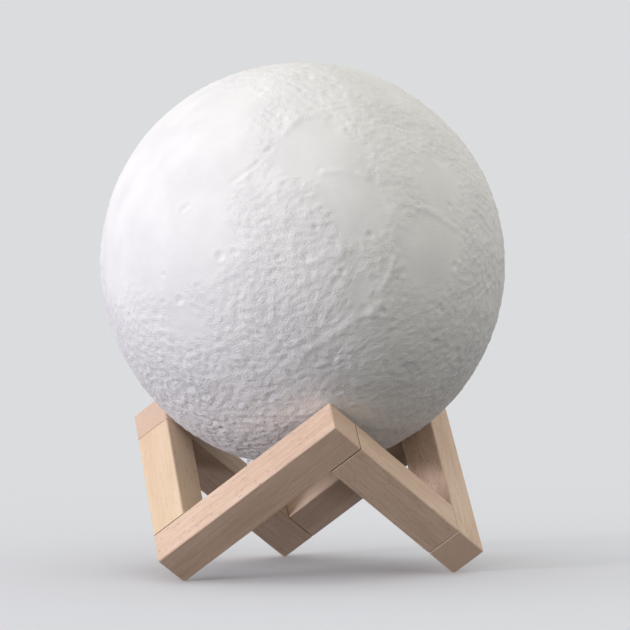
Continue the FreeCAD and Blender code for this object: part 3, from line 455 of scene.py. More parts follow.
@dataclass(frozen=True)
class PrintedWhite:
    """White printed bioplastic, matt: the nozzle leaves level layer lines, and the relief's finest
    grain is drawn out along them."""

    name: str = "printed_bioplastic_white"
    colour: str = "#F5F5F7"
    shade: str = "#EDEDF0"
    patch: float = 17.0             # faint patches of the second shade, mm
    grain: float = 0.72             # finest roughness of the relief, mm
    squeeze: float = 1.8            # the layers draw it out level
    grain_depth: float = 0.25
    ridge_width: float = 1.15       # fine ridges between those of the mesh, along the same rays
    ridge_length: float = 2.3
    ridge_depth: float = 0.13
    layer: float = 0.5              # real layers are 0.2 mm, drawn coarser so that they show
    layer_depth: float = 0.018
    plain_share: float = 0.18       # how much of grain and ridges is left on a plain
    roughness: tuple[float, float] = (0.56, 0.68)
    ior: float = 1.46
    specular: float = 0.3

    def material(self) -> bpy.types.Material:
        """Builds the globe's material.

        Returns:
            The material. It reads the mesh's own masks, so plains stay fine.
        """
        material, tree, shader = new_material(self.name)
        shader.inputs["IOR"].default_value = self.ior
        shader.inputs["Specular IOR Level"].default_value = self.specular
        place = add_node(tree, "ShaderNodeTexCoord").outputs["Object"]
        patches = add_node(tree, "ShaderNodeTexNoise", sockets={
            "Vector": place, "Scale": 1 / (self.patch * MM), "Detail": 4.0}).outputs[0]
        shades = add_node(tree, "ShaderNodeValToRGB", sockets={"Fac": patches})
        set_ramp(shades, [(0.35, self.shade), (0.65, self.colour)])
        level = add_node(tree, "ShaderNodeVectorMath", {"operation": "MULTIPLY"},
                         {0: place, 1: (1.0, 1.0, self.squeeze)}).outputs["Vector"]
        grain = add_node(tree, "ShaderNodeTexNoise", sockets={
            "Vector": level, "Scale": 1 / (self.grain * MM), "Detail": 1.0,
            "Roughness": 0.6}).outputs[0]
        masks = {name: add_node(tree, "ShaderNodeAttribute",
                                {"attribute_name": name}).outputs["Fac"]
                 for name in ("plain", "coarse", "ray")}
        rough = add_node(tree, "ShaderNodeMapRange", sockets={
            "Value": masks["plain"], "To Min": 1.0, "To Max": self.plain_share}).outputs["Result"]
        height = add_node(tree, "ShaderNodeSeparateXYZ", sockets={"Vector": place}).outputs["Z"]
        lines = add_node(tree, "ShaderNodeTexNoise", {"noise_dimensions": "1D"}, {
            "W": height, "Scale": 1 / (self.layer * MM), "Detail": 0.0}).outputs[0]
        total: Feed = 0.0
        for pattern, depth, shares in (
                (lines, self.layer_depth, ()), (grain, self.grain_depth, (rough, masks["coarse"])),
                (self.ridges(tree), self.ridge_depth, (rough, masks["ray"]))):
            for share in shares:
                pattern = add_node(tree, "ShaderNodeMath", {"operation": "MULTIPLY"},
                                   {0: pattern, 1: share}).outputs[0]
            total = add_node(tree, "ShaderNodeMath", {"operation": "MULTIPLY_ADD"},
                             {0: pattern, 1: depth, 2: total}).outputs[0]
        wire_shader(tree, shader, shades.outputs["Color"], grain, self.roughness, total, 1.0)
        return material

    def ridges(self, tree: Tree) -> Socket:
        """Builds fine ridges along the globe's rays, too narrow for its mesh.

        Args:
            tree: the material's node tree.

        Returns:
            The output that carries the ridges, from 0 to 1.
        """
        place = add_node(tree, "ShaderNodeAttribute",
                         {"attribute_name": "ray_place"}).outputs["Vector"]
        scaled = add_node(tree, "ShaderNodeVectorMath", {"operation": "MULTIPLY"}, {
            0: place, 1: (1 / self.ridge_width, 1 / self.ridge_length, 1.0)}).outputs["Vector"]
        return add_node(tree, "ShaderNodeTexNoise", sockets={
            "Vector": scaled, "Scale": 1.0, "Detail": 0.7, "Distortion": 0.5}).outputs[0]


# ---------------------------------------------------------------- globe

@dataclass
class CraterClass:
    """One size of the craters that Geometry Nodes scatter over the globe."""

    name: str
    least_radius: float
    most_radius: float
    spacing: float
    depth: float
    seed: int


@dataclass
class Globe:
    """The printed globe: a closed shell, open at the neck, with a relief on its outside.

    The relief has three parts: plains, pits, ridges and swells at their own places, which
    `shape_places` works out for each point, and craters, rubble and rays, which follow a rule and
    come from Geometry Nodes.
    """

    centre: Vector
    radius: float
    wall: float = 2.0
    mouth_radius: float = 22.0      # flat ring that the foam seal rests against
    neck_radius: float = 19.0
    step: float = 0.945             # edge length of the outside's mesh
    inner_step: float = 6.0
    seat_height: float = 65.1       # the stand's three upper corners, where the ball stays bare
    seat_reach: float = 57.56
    seat_angles: tuple[float, ...] = (30.0, 150.0, 270.0)
    seat_bare: float = 1.5          # how far from a corner it does
    seat_fade: float = 4.0          # over how much more the relief rises to its whole height
    mouth_fade: float = 3.0         # the same beside the mouth, degrees
    ray_source: tuple[float, float] = (-23.0, -38.0)
    # where the rays start, are whole, fade and end: mm from the source, and bearing in degrees
    ray_reach: tuple[float, float, float, float] = (13.0, 31.0, 34.0, 82.0)
    ray_bearings: tuple[float, float, float, float] = (-28.65, -5.73, 101.95, 122.0)
    ray_middle: float = 45.0        # mm from the source, where a ray has its stated width

    # longitude from the front towards +X, latitude, radius in degrees: plains lie lower and smooth
    plains: tuple[tuple[float, float, float], ...] = (
        (-54.6, 30.0, 24.0), (-51.9, 11.3, 20.0), (-36.4, 3.9, 9.0), (-44.1, 44.8, 11.5),
        (-81.8, 41.9, 22.0), (-75.0, 15.0, 22.0), (-4.0, 35.5, 9.5), (7.5, 17.1, 10.0),
        (39.0, 23.0, 9.0), (29.8, 2.8, 10.5), (-44.8, -15.8, 6.0), (7.4, -5.7, 5.0),
        (112.0, 34.0, 12.0), (146.0, -42.0, 15.0), (176.0, 22.0, 9.0), (-128.0, -20.0, 10.0))
    # longitude, latitude, radius and depth in mm
    pits: tuple[tuple[float, float, float, float], ...] = (
        (-45.0, 16.5, 1.5, 0.5), (-43.7, 17.4, 1.5, 0.45), (-31.8, 3.6, 2.1, 0.5),
        (-27.4, 4.7, 1.6, 0.5), (-18.6, 13.1, 1.4, 0.55), (-14.1, 23.2, 1.3, 0.4),
        (8.1, 40.7, 1.4, 0.45), (-5.2, 11.2, 1.2, 0.4), (10.1, 8.7, 1.5, 0.5),
        (1.8, -1.1, 1.4, 0.45), (14.0, -12.3, 1.8, 0.5), (38.0, -0.3, 1.6, 0.5),
        (33.0, -11.7, 1.4, 0.5), (17.4, -15.2, 1.2, 0.4), (-50.5, -1.5, 1.2, 0.35),
        (-45.1, -8.3, 2.0, 0.4), (-41.3, -22.0, 1.4, 0.35), (-45.3, 26.9, 1.2, 0.3),
        (-72.7, 26.1, 1.4, 0.3), (-7.8, 58.3, 1.4, 0.4), (-28.6, 58.8, 1.8, 0.4),
        (-15.4, 45.5, 1.5, 0.45), (39.1, 16.4, 1.4, 0.45), (45.2, 29.7, 1.0, 0.3),
        (-15.3, 2.8, 1.1, 0.35))
    # longitude, latitude, radius and height in mm
    knolls: tuple[tuple[float, float, float, float], ...] = (
        (-12.7, 44.1, 2.2, 0.35), (1.9, 4.3, 3.0, 0.5), (-7.4, 15.4, 2.2, 0.35),
        (10.5, -12.7, 2.6, 0.45), (18.1, -0.6, 2.2, 0.35), (59.5, -14.2, 2.4, 0.45),
        (-13.5, 13.7, 2.0, 0.35), (81.0, 61.0, 3.0, 0.35), (-98.8, 2.0, 2.0, 0.3),
        (-98.8, -4.0, 2.0, 0.3))
    # points of a crest or a groove as longitude and latitude, then half width and height in mm
    crests: tuple[tuple[tuple[tuple[float, float], ...], float, float], ...] = (
        (((-19.0, 34.7), (-23.3, 29.4), (-30.0, 24.4)), 0.9, -0.42),
        (((-16.0, -30.5), (-11.5, -25.3), (-1.7, -19.5), (10.5, -12.2)), 1.4, 0.25),
        (((-18.5, -26.5), (-12.5, -21.0), (-3.5, -15.5)), 1.1, 0.15),
        (((25.3, 15.8), (32.0, 14.5), (39.3, 10.0)), 1.3, 0.26),
        (((14.0, 9.0), (17.5, 3.5), (15.5, -2.5), (12.0, -7.5)), 1.1, 0.3),
        (((-2.5, 26.5), (4.0, 27.5), (11.5, 25.0)), 1.2, 0.25),
        (((-14.5, 39.5), (-9.5, 45.0), (-2.5, 46.5)), 1.3, 0.35))
    crest_steps: int = 24           # points laid along each stretch of a crest
    # wide swells of the outline: longitude, latitude, radius in degrees, height in mm
    swells: tuple[tuple[float, float, float, float], ...] = (
        (-98.8, 40.0, 22.0, 0.6), (-98.8, -33.0, 17.0, -0.6), (81.0, 52.0, 15.0, -0.5),
        (81.0, -24.0, 3.0, -0.4))
    plain_ground: float = 0.9       # how coarse the ground is elsewhere
    # rougher or calmer ground: longitude, latitude, reach in degrees and by how much
    grounds: tuple[tuple[float, float, float, float], ...] = (
        (-58.0, -42.0, 24.0, 1.1), (8.0, -15.0, 14.0, -0.32), (-53.0, -9.0, 11.0, -0.35),
        (-30.0, 43.0, 9.0, 0.6), (35.0, 42.0, 14.0, 0.5), (-16.0, -22.0, 12.0, 0.5),
        (-18.0, 5.0, 9.0, 0.35))
    far_side: tuple[float, float] = (158.0, 5.0)    # the middle of the more cratered side
    far_change: float = 0.7         # how wide the change to it is, in radii
    pit_share: float = 0.9          # of a crater's depth on the near side, twice that on the far
    plain_chance: float = 0.12      # how many of its craters and how much rubble a plain keeps
    plain_rubble: float = 0.1
    craters: tuple[CraterClass, ...] = (
        CraterClass("Basin", 4.5, 7.5, 30.0, 0.24, 11),
        CraterClass("Crater", 1.4, 2.7, 11.0, 0.3, 5),
        CraterClass("Pock", 0.95, 1.5, 5.2, 0.2, 23))
    # a crater's section from its centre, over its rim, to the ground, as shares
    crater_profile: tuple[tuple[float, float], ...] = (
        (0.0, 0.0), (0.25, 0.12), (0.43, 0.72), (0.52, 1.0), (0.63, 0.8), (0.8, 0.7), (1.0, 0.7))
    most_points: float = 60000.0    # per m2, more than the spacing leaves room for
    rubble_depth: float = 0.58      # lumpy ground between the plains
    rubble_size: float = 2.5
    level_squeeze: float = 1.5      # the print's layers draw the lumps out level
    ray_depth: float = 0.26         # short ridges that fan out from the ray source
    ray_width: float = 1.6
    ray_length: float = 3.6
    plain_drop: float = 0.16
    highest: float = 0.85           # the relief is held between these
    lowest: float = -1.05
    crease: float = 55.0            # edges sharper than this stay sharp, degrees
    finish: PrintedWhite = field(default_factory=PrintedWhite)

    def build(self) -> bpy.types.Object:
        """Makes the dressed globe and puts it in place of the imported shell.

        Returns:
            The globe's object.
        """
        vertices, faces, outside = self.shell()
        mesh = bpy.data.meshes.new("globe_base")
        mesh.from_pydata((vertices * MM).tolist(), [], faces)
        mesh.update()
        for name, values in self.shape_places(vertices, outside).items():
            kind, slot = ("FLOAT_VECTOR", "vector") if values.ndim == 2 else ("FLOAT", "value")
            mesh.attributes.new(name, kind, "POINT").data.foreach_set(slot, values.ravel())
        base = add_object("globe_base", mesh)
        relief = base.modifiers.new("relief", "NODES")
        tree, sizes = self.relief_tree(self.finish.material())
        relief.node_group = tree
        for item in tree.interface.items_tree:
            if item.in_out == "INPUT" and item.name in sizes:
                relief[item.identifier] = sizes[item.name]
        evaluated = base.evaluated_get(bpy.context.evaluated_depsgraph_get())
        baked = bpy.data.meshes.new_from_object(evaluated)
        base.modifiers.remove(relief)
        bpy.data.objects.remove(base)
        baked.polygons.foreach_set("use_smooth", np.ones(len(baked.polygons), bool))
        baked.set_sharp_from_angle(angle=math.radians(self.crease))
        globe = add_object("printed_globe", baked)
        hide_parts("globe_shell")
        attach(globe, "globe")
        LOG.info("printed_globe: %d triangles", sum(len(p.vertices) - 2 for p in baked.polygons))
        return globe

    def shell(self) -> tuple[np.ndarray, list[tuple[int, ...]], np.ndarray]:
        """Makes a closed shell from rings: outside from the top down to the mouth, flat ring, neck
        hole and inside back up to the top.

        Returns:
            Vertices in mm, faces, and for each vertex whether it lies on the outside.
        """
        outer_end = math.pi - math.asin(self.mouth_radius / self.radius)
        inner = self.radius - self.wall
        inner_end = math.pi - math.asin(self.neck_radius / inner)
        rings = self.arc(self.radius, outer_end, self.step)
        outer_rings = len(rings)
        flat = -math.sqrt(self.radius ** 2 - self.mouth_radius ** 2)
        rings.append((self.neck_radius, flat, rings[-1][2]))
        rings += self.arc(inner, inner_end, self.inner_step)[::-1]
        points: list[np.ndarray] = []
        starts = [0]
        for number, (reach, level, count) in enumerate(rings):
            # every other ring outside is turned by half a step, so that the triangles stay even
            twist = 0.5 * (number % 2) if number < outer_rings else 0.0
            turns = (np.arange(count) + twist) * (2 * math.pi / count)
            points.append(np.stack([reach * np.cos(turns), reach * np.sin(turns),
                                    np.full(count, level)], 1))
            starts.append(starts[-1] + count)
        faces: list[tuple[int, ...]] = []
        for number in range(len(rings) - 1):
            faces += self.zip_rings(starts[number], points[number], starts[number + 1],
                                    points[number + 1])
        outside = np.arange(starts[-1]) < starts[outer_rings]
        return np.concatenate(points) + np.array(self.centre) / MM, faces, outside

    def arc(self, radius: float, end: float, step: float) -> list[tuple[float, float, int]]:
        """Lays rings over a ball from its top pole to a last polar angle.

        Args:
            radius: the ball's radius.
            end: the last ring's angle from the top.
            step: the wanted edge length.

        Returns:
            For each ring its reach from the axis, its level and its number of points.
        """
        count = round(radius * end / (step * math.sqrt(0.75)))
        rings = [(0.0, radius, 1)]
        for number in range(1, count + 1):
            angle = end * number / count
            reach = radius * math.sin(angle)
            rings.append((reach, radius * math.cos(angle),
                          max(6, round(2 * math.pi * reach / step))))
        return rings

    def zip_rings(self, start: int, ring: np.ndarray, next_start: int,
                  next_ring: np.ndarray) -> list[tuple[int, ...]]:
        """Makes the triangles between two rings with different numbers of points.

        Args:
            start: number of the first ring's first vertex.
            ring: the first ring's points.
            next_start: number of the next ring's first vertex.
            next_ring: the next ring's points.

        Returns:
            The triangles, facing away from the shell's material.
        """
        count, next_count = len(ring), len(next_ring)
        if count == 1:
            return [(start, next_start + i, next_start + (i + 1) % next_count)
                    for i in range(next_count)]
        if next_count == 1:
            return [(next_start, start + (i + 1) % count, start + i) for i in range(count)]
        phase = math.atan2(ring[0][1], ring[0][0]) % (2 * math.pi)
        next_phase = math.atan2(next_ring[0][1], next_ring[0][0]) % (2 * math.pi)
        faces: list[tuple[int, ...]] = []
        i = j = 0
        while i < count or j < next_count:
            turn = phase + (i + 0.5) * 2 * math.pi / count
            next_turn = next_phase + (j + 0.5) * 2 * math.pi / next_count
            here, there = start + i % count, next_start + j % next_count
            if j >= next_count or (i < count and turn < next_turn):
                faces.append((here, there, start + (i + 1) % count))
                i += 1
            else:
                faces.append((here, there, next_start + (j + 1) % next_count))
                j += 1
        return faces

    def shape_places(self, vertices: np.ndarray, outside: np.ndarray) -> dict[str, np.ndarray]:
        """Works out, for each point, what belongs to a certain place on the globe.

        Args:
            vertices: the points in mm.
            outside: whether each point lies on the outside.

        Returns:
            Per attribute name its values: `plain` and `relief` masks, `placed` height in mm, `ray`
            mask and `ray_place`, the bearing and distance from the ray source in mm, `coarse`, how
            rough the rubble is, and `pitted`, how deep the craters are: like the real one, the far
            side is the more cratered.
        """
        offsets = vertices - np.array(self.centre) / MM
        ways = offsets / np.linalg.norm(offsets, axis=1, keepdims=True)
        ray, ray_place = self.rays(ways)
        far = self.smooth(0.5 + ways @ way(*self.far_side) / self.far_change)
        coarse = np.full(len(ways), self.plain_ground)
        for lon, lat, reach, change in self.grounds:
            coarse += change * np.exp(-(self.degrees_from(ways, lon, lat) / reach) ** 2)
        return {"plain": self.plain_mask(ways), "placed": self.placed_height(ways),
                "ray": ray * np.minimum(coarse, 1.0), "ray_place": ray_place,
                "relief": self.relief_mask(vertices, ways) * outside,
                "pitted": self.pit_share * (1 + far), "coarse": coarse}

    def plain_mask(self, ways: np.ndarray) -> np.ndarray:
        """Marks the plains, whose shores a slow wave frays.

        Args:
            ways: the points' directions.

        Returns:
            1 on a plain, 0 on rough ground.
        """
        shore, outer = 5.0, 2.2     # a shore's width and how far out it starts, degrees
        fray = 0.42                 # how far the wave moves it, as a share of the plain's radius
        waver = self.waver(ways)
        rough = np.ones(len(ways))
        for lon, lat, reach in self.plains:
            away = self.degrees_from(ways, lon, lat) + waver * min(fray * reach, shore)
            rough *= 1 - self.smooth((reach + outer - away) / shore)
        return 1 - rough

    def placed_height(self, ways: np.ndarray) -> np.ndarray:
        """Adds up the pits, knolls, crests and swells.

        Args:
            ways: the points' directions.

        Returns:
            The height in mm.
        """
        rim, rim_place, rim_width = 0.3, 1.15, 0.25     # shares of a pit's depth and radius
        placed = np.zeros(len(ways))
        for lon, lat, reach, depth in self.pits:
            away = self.mm_from(ways, lon, lat) / reach
            placed -= depth * np.clip(1 - away ** 2, 0, 1)
            placed += rim * depth * np.exp(-((away - rim_place) / rim_width) ** 2)
        for lon, lat, reach, rise in self.knolls:
            placed += rise * np.exp(-(self.mm_from(ways, lon, lat) / reach) ** 2)
        for course, half, rise in self.crests:
            away = np.full(len(ways), np.inf)
            for first, second in zip(course, course[1:]):
                for lon, lat in np.linspace(first, second, self.crest_steps):
                    away = np.minimum(away, self.mm_from(ways, lon, lat))
            placed += rise * np.exp(-(away / half) ** 2)
        for lon, lat, reach, rise in self.swells:
            placed += rise * np.exp(-(self.degrees_from(ways, lon, lat) / reach) ** 2)
        return placed

    def rays(self, ways: np.ndarray) -> tuple[np.ndarray, np.ndarray]:
        """Lays out the ridges that fan out from the ray source over part of a circle.

        Args:
            ways: the points' directions.

        Returns:
            How strong they are, from 0 to 1, and the place in the fan: bearing and distance in mm.
        """
        source = way(*self.ray_source)
        east = np.cross((0, 0, 1), source)
        east /= np.linalg.norm(east)
        bearing = np.arctan2(ways @ np.cross(source, east), ways @ east)
        distance = self.mm_from(ways, *self.ray_source)
        strength = np.ones(len(ways))
        for measure, (start, full, fade, end) in ((distance, self.ray_reach),
                                                  (bearing, np.radians(self.ray_bearings))):
            strength *= self.smooth((measure - start) / (full - start))
            strength *= self.smooth((end - measure) / (end - fade))
        return strength, np.stack([bearing * self.ray_middle, distance, np.zeros(len(ways))], 1)

    def relief_mask(self, vertices: np.ndarray, ways: np.ndarray) -> np.ndarray:
        """Keeps the relief off the mouth's edge and off the stand's corners.

        Args:
            vertices: the points in mm.
            ways: their directions.

        Returns:
            1 where the relief is whole, 0 where the ball stays bare.
        """
        mouth = np.degrees(np.arccos(np.clip(-ways[:, 2], -1, 1)))
        edge = math.degrees(math.asin(self.mouth_radius / self.radius))
        mask = self.smooth((mouth - edge) / self.mouth_fade)
        for angle in self.seat_angles:
            turn = math.radians(angle)
            seat = np.array([self.seat_reach * math.cos(turn), self.seat_reach * math.sin(turn),
                             self.seat_height])
            away = np.linalg.norm(vertices - seat, axis=1)
            mask *= self.smooth((away - self.seat_bare) / self.seat_fade)
        return mask

    def degrees_from(self, ways: np.ndarray, lon: float, lat: float) -> np.ndarray:
        """Angle in degrees from each direction to a place."""
        return np.degrees(np.arccos(np.clip(ways @ way(lon, lat), -1, 1)))

    def mm_from(self, ways: np.ndarray, lon: float, lat: float) -> np.ndarray:
        """Distance over the surface from each direction to a place, in mm."""
        return np.radians(self.degrees_from(ways, lon, lat)) * self.radius

    def smooth(self, share: np.ndarray) -> np.ndarray:
        """Eases from 0 to 1 as share goes from 0 to 1."""
        held = np.clip(share, 0, 1)
        return held * held * (3 - 2 * held)

    def waver(self, ways: np.ndarray) -> np.ndarray:
        """Adds up a slow irregular wave over the globe.

        Args:
            ways: the points' directions.

        Returns:
            The wave, about -1 to 1.
        """
        directions = 4              # in which each of three paces runs
        rng = np.random.default_rng(7)
        total = np.zeros(len(ways))
        for pace, share in ((9, 0.5), (17, 0.3), (31, 0.2)):
            for _ in range(directions):
                turn = rng.normal(size=3)
                turn *= pace / np.linalg.norm(turn)
                total += share * 0.5 * np.sin(ways @ turn + rng.uniform(0, 2 * math.pi))
        return total

    def relief_tree(self, material: bpy.types.Material) -> tuple[Tree, dict[str, Any]]:
        """Builds the Geometry Nodes that raise and sink the outside: scattered craters in three
        sizes, rubble, and ridges that fan out.

        Args:
            material: the finish that the last node sets.

        Returns:
            The node tree and the sizes of its named inputs.
        """
        tree = bpy.data.node_groups.new("globe_relief", "GeometryNodeTree")
        tree.interface.new_socket("Geometry", in_out="INPUT", socket_type="NodeSocketGeometry")
        tree.interface.new_socket("Geometry", in_out="OUTPUT", socket_type="NodeSocketGeometry")
        sizes: dict[str, Any] = {
            "Rubble depth": self.rubble_depth, "Rubble size": self.rubble_size,
            "Ray depth": self.ray_depth, "Ray width": self.ray_width, "Ray length": self.ray_length,
            "Plain drop": self.plain_drop}
        for kind in self.craters:
            sizes |= {f"{kind.name} least radius": kind.least_radius,
                      f"{kind.name} most radius": kind.most_radius,
                      f"{kind.name} spacing": kind.spacing, f"{kind.name} depth": kind.depth,
                      f"{kind.name} seed": kind.seed}
        for name, value in sizes.items():
            kind = "NodeSocketInt" if isinstance(value, int) else "NodeSocketFloat"
            tree.interface.new_socket(name, in_out="INPUT", socket_type=kind)
        given = add_node(tree, "NodeGroupInput").outputs
        masks = {name: add_node(tree, "GeometryNodeInputNamedAttribute", {"data_type": "FLOAT"},
                                {"Name": name}).outputs["Attribute"]
                 for name in ("plain", "placed", "ray", "relief", "pitted", "coarse")}
        masks["rough"] = add_node(tree, "ShaderNodeMath", {"operation": "SUBTRACT"},
                                  {0: 1.0, 1: masks["plain"]}).outputs[0]
        # each height is the product of its factors
        heights = [[masks["placed"]], [masks["plain"], given["Plain drop"], -1.0],
                   *(self.crater_factors(tree, given, kind.name, masks) for kind in self.craters),
                   self.rubble_factors(tree, given, masks), self.ray_factors(tree, given, masks)]
        total: Feed = 0.0
        for first, *others in heights:
            height = first
            for factor in others:
                height = add_node(tree, "ShaderNodeMath", {"operation": "MULTIPLY"},
                                  {0: height, 1: factor}).outputs[0]
            total = add_node(tree, "ShaderNodeMath", {"operation": "ADD"},
                             {0: total, 1: height}).outputs[0]
        kept = add_node(tree, "ShaderNodeClamp", sockets={
            "Value": total, "Min": self.lowest, "Max": self.highest}).outputs[0]
        for factor in (masks["relief"], MM):
            kept = add_node(tree, "ShaderNodeMath", {"operation": "MULTIPLY"},
                            {0: kept, 1: factor}).outputs[0]
        position = add_node(tree, "GeometryNodeInputPosition").outputs["Position"]
        arm = add_node(tree, "ShaderNodeVectorMath", {"operation": "SUBTRACT"},
                       {0: position, 1: tuple(self.centre)})
        outwards = add_node(tree, "ShaderNodeVectorMath", {"operation": "NORMALIZE"},
                            {0: arm.outputs["Vector"]})
        shift = add_node(tree, "ShaderNodeVectorMath", {"operation": "SCALE"},
                         {0: outwards.outputs["Vector"], "Scale": kept})
        geometry = given["Geometry"]
        for kind, sockets in (("SetPosition", {"Offset": shift.outputs["Vector"]}),
                              ("RealizeInstances", {}), ("SetMaterial", {"Material": material})):
            geometry = add_node(tree, f"GeometryNode{kind}", sockets={
                "Geometry": geometry, **sockets}).outputs["Geometry"]
        add_node(tree, "NodeGroupOutput", sockets={"Geometry": geometry})
        return tree, sizes

    def crater_factors(self, tree: Tree, given: Any, name: str,
                       masks: dict[str, Socket]) -> list[Feed]:
        """Builds bowls with a raised rim, scattered at a least distance from one another.

        Args:
            tree: the node tree.
            given: the tree's inputs.
            name: the crater class's name.
            masks: the masks read from the mesh.

        Returns:
            The factors of the height in mm.
        """
        spacing = add_node(tree, "ShaderNodeMath", {"operation": "MULTIPLY"},
                           {0: given[f"{name} spacing"], 1: MM}).outputs[0]
        chance = add_node(tree, "ShaderNodeMapRange", sockets={
            "Value": masks["rough"], "To Min": self.plain_chance}).outputs["Result"]
        on_outside = add_node(tree, "FunctionNodeCompare", {"data_type": "FLOAT"},
                              {0: masks["relief"], 1: 0.5}).outputs["Result"]
        points = add_node(tree, "GeometryNodeDistributePointsOnFaces",
                          {"distribute_method": "POISSON"}, {
                              "Mesh": given["Geometry"], "Selection": on_outside,
                              "Distance Min": spacing, "Density Max": self.most_points,
                              "Density Factor": chance, "Seed": given[f"{name} seed"]})
        position = add_node(tree, "GeometryNodeInputPosition").outputs["Position"]
        nearest = add_node(tree, "GeometryNodeSampleNearest", {"domain": "POINT"},
                           {"Geometry": points.outputs["Points"]}).outputs["Index"]
        middle = add_node(tree, "GeometryNodeSampleIndex",
                          {"data_type": "FLOAT_VECTOR", "domain": "POINT"}, {
                              "Geometry": points.outputs["Points"], "Value": position,
                              "Index": nearest}).outputs["Value"]
        span = add_node(tree, "ShaderNodeVectorMath", {"operation": "DISTANCE"},
                        {0: position, 1: middle}).outputs["Value"]
        share = add_node(tree, "FunctionNodeRandomValue", {"data_type": "FLOAT"}, {
            "ID": nearest, "Seed": given[f"{name} seed"]}).outputs[1]
        # small craters are the more common
        skewed = add_node(tree, "ShaderNodeMath", {"operation": "POWER"},
                          {0: share, 1: 2.0}).outputs[0]
        radius = add_node(tree, "ShaderNodeMapRange", sockets={
            "Value": skewed, "To Min": given[f"{name} least radius"],
            "To Max": given[f"{name} most radius"]}).outputs["Result"]
        reach = add_node(tree, "ShaderNodeMath", {"operation": "DIVIDE"},
                         {0: span, 1: radius}).outputs[0]
        # the profile reaches from the centre out to twice the radius
        along = add_node(tree, "ShaderNodeMath", {"operation": "MULTIPLY"},
                         {0: reach, 1: 0.5 / MM}).outputs[0]
        profile = add_node(tree, "ShaderNodeFloatCurve", sockets={"Value": along})
        self.draw_profile(profile)
        level = add_node(tree, "ShaderNodeMapRange", {"clamp": False}, {
            "Value": profile.outputs["Value"], "From Max": self.crater_profile[-1][1],
            "To Min": -1.0, "To Max": 0.0}).outputs["Result"]
        shallow = add_node(tree, "ShaderNodeMath", {"operation": "DIVIDE"},
                           {0: radius, 1: given[f"{name} most radius"]}).outputs[0]
        return [level, shallow, given[f"{name} depth"], masks["pitted"]]

    def draw_profile(self, node: bpy.types.Node) -> None:
        """Draws a crater's section into a curve.

        Args:
            node: the Float Curve node, which comes with two points.
        """
        points = node.mapping.curves[0].points
        for number, place in enumerate(self.crater_profile):
            if number < len(points):
                points[number].location = place
            else:
                points.new(*place)
        node.mapping.update()

    def rubble_factors(self, tree: Tree, given: Any, masks: dict[str, Socket]) -> list[Feed]:
        """Builds lumps on the rough ground, and a trace of them on the plains.

        Args:
            tree: the node tree.
            given: the tree's inputs.
            masks: the masks read from the mesh.

        Returns:
            The factors of the height in mm.
        """
        scale = add_node(tree, "ShaderNodeMath", {"operation": "DIVIDE"},
                         {0: 1 / MM, 1: given["Rubble size"]}).outputs[0]
        position = add_node(tree, "GeometryNodeInputPosition").outputs["Position"]
        place = add_node(tree, "ShaderNodeVectorMath", {"operation": "MULTIPLY"}, {
            0: position, 1: (1.0, 1.0, self.level_squeeze)}).outputs["Vector"]
        noise = add_node(tree, "ShaderNodeTexNoise", {"noise_type": "FBM"}, {
            "Vector": place, "Scale": scale, "Detail": 1.0, "Roughness": 0.62, "Lacunarity": 2.1,
            "Distortion": 0.1}).outputs[0]
        swing = add_node(tree, "ShaderNodeMath", {"operation": "MULTIPLY_ADD"},
                         {0: noise, 1: 2.0, 2: -1.0}).outputs[0]
        amount = add_node(tree, "ShaderNodeMapRange", sockets={
            "Value": masks["rough"], "To Min": self.plain_rubble}).outputs["Result"]
        return [swing, amount, given["Rubble depth"], masks["coarse"]]

    def ray_factors(self, tree: Tree, given: Any, masks: dict[str, Socket]) -> list[Feed]:
        """Builds short ridges along the lines that fan out from the ray source.

        Args:
            tree: the node tree.
            given: the tree's inputs.
            masks: the masks read from the mesh.

        Returns:
            The factors of the height in mm.
        """
        place = add_node(tree, "GeometryNodeInputNamedAttribute", {"data_type": "FLOAT_VECTOR"},
                         {"Name": "ray_place"}).outputs["Attribute"]
        step = add_node(tree, "ShaderNodeCombineXYZ", sockets={
            "X": given["Ray width"], "Y": given["Ray length"], "Z": 1.0}).outputs["Vector"]
        scaled = add_node(tree, "ShaderNodeVectorMath", {"operation": "DIVIDE"},
                          {0: place, 1: step}).outputs["Vector"]
        noise = add_node(tree, "ShaderNodeTexNoise", sockets={
            "Vector": scaled, "Scale": 1.0, "Detail": 1.5, "Distortion": 0.25}).outputs[0]
        swing = add_node(tree, "ShaderNodeMath", {"operation": "MULTIPLY_ADD"},
                         {0: noise, 1: 2.0, 2: -1.0}).outputs[0]
        return [swing, masks["ray"], masks["rough"], given["Ray depth"]]


# ---------------------------------------------------------------- stand

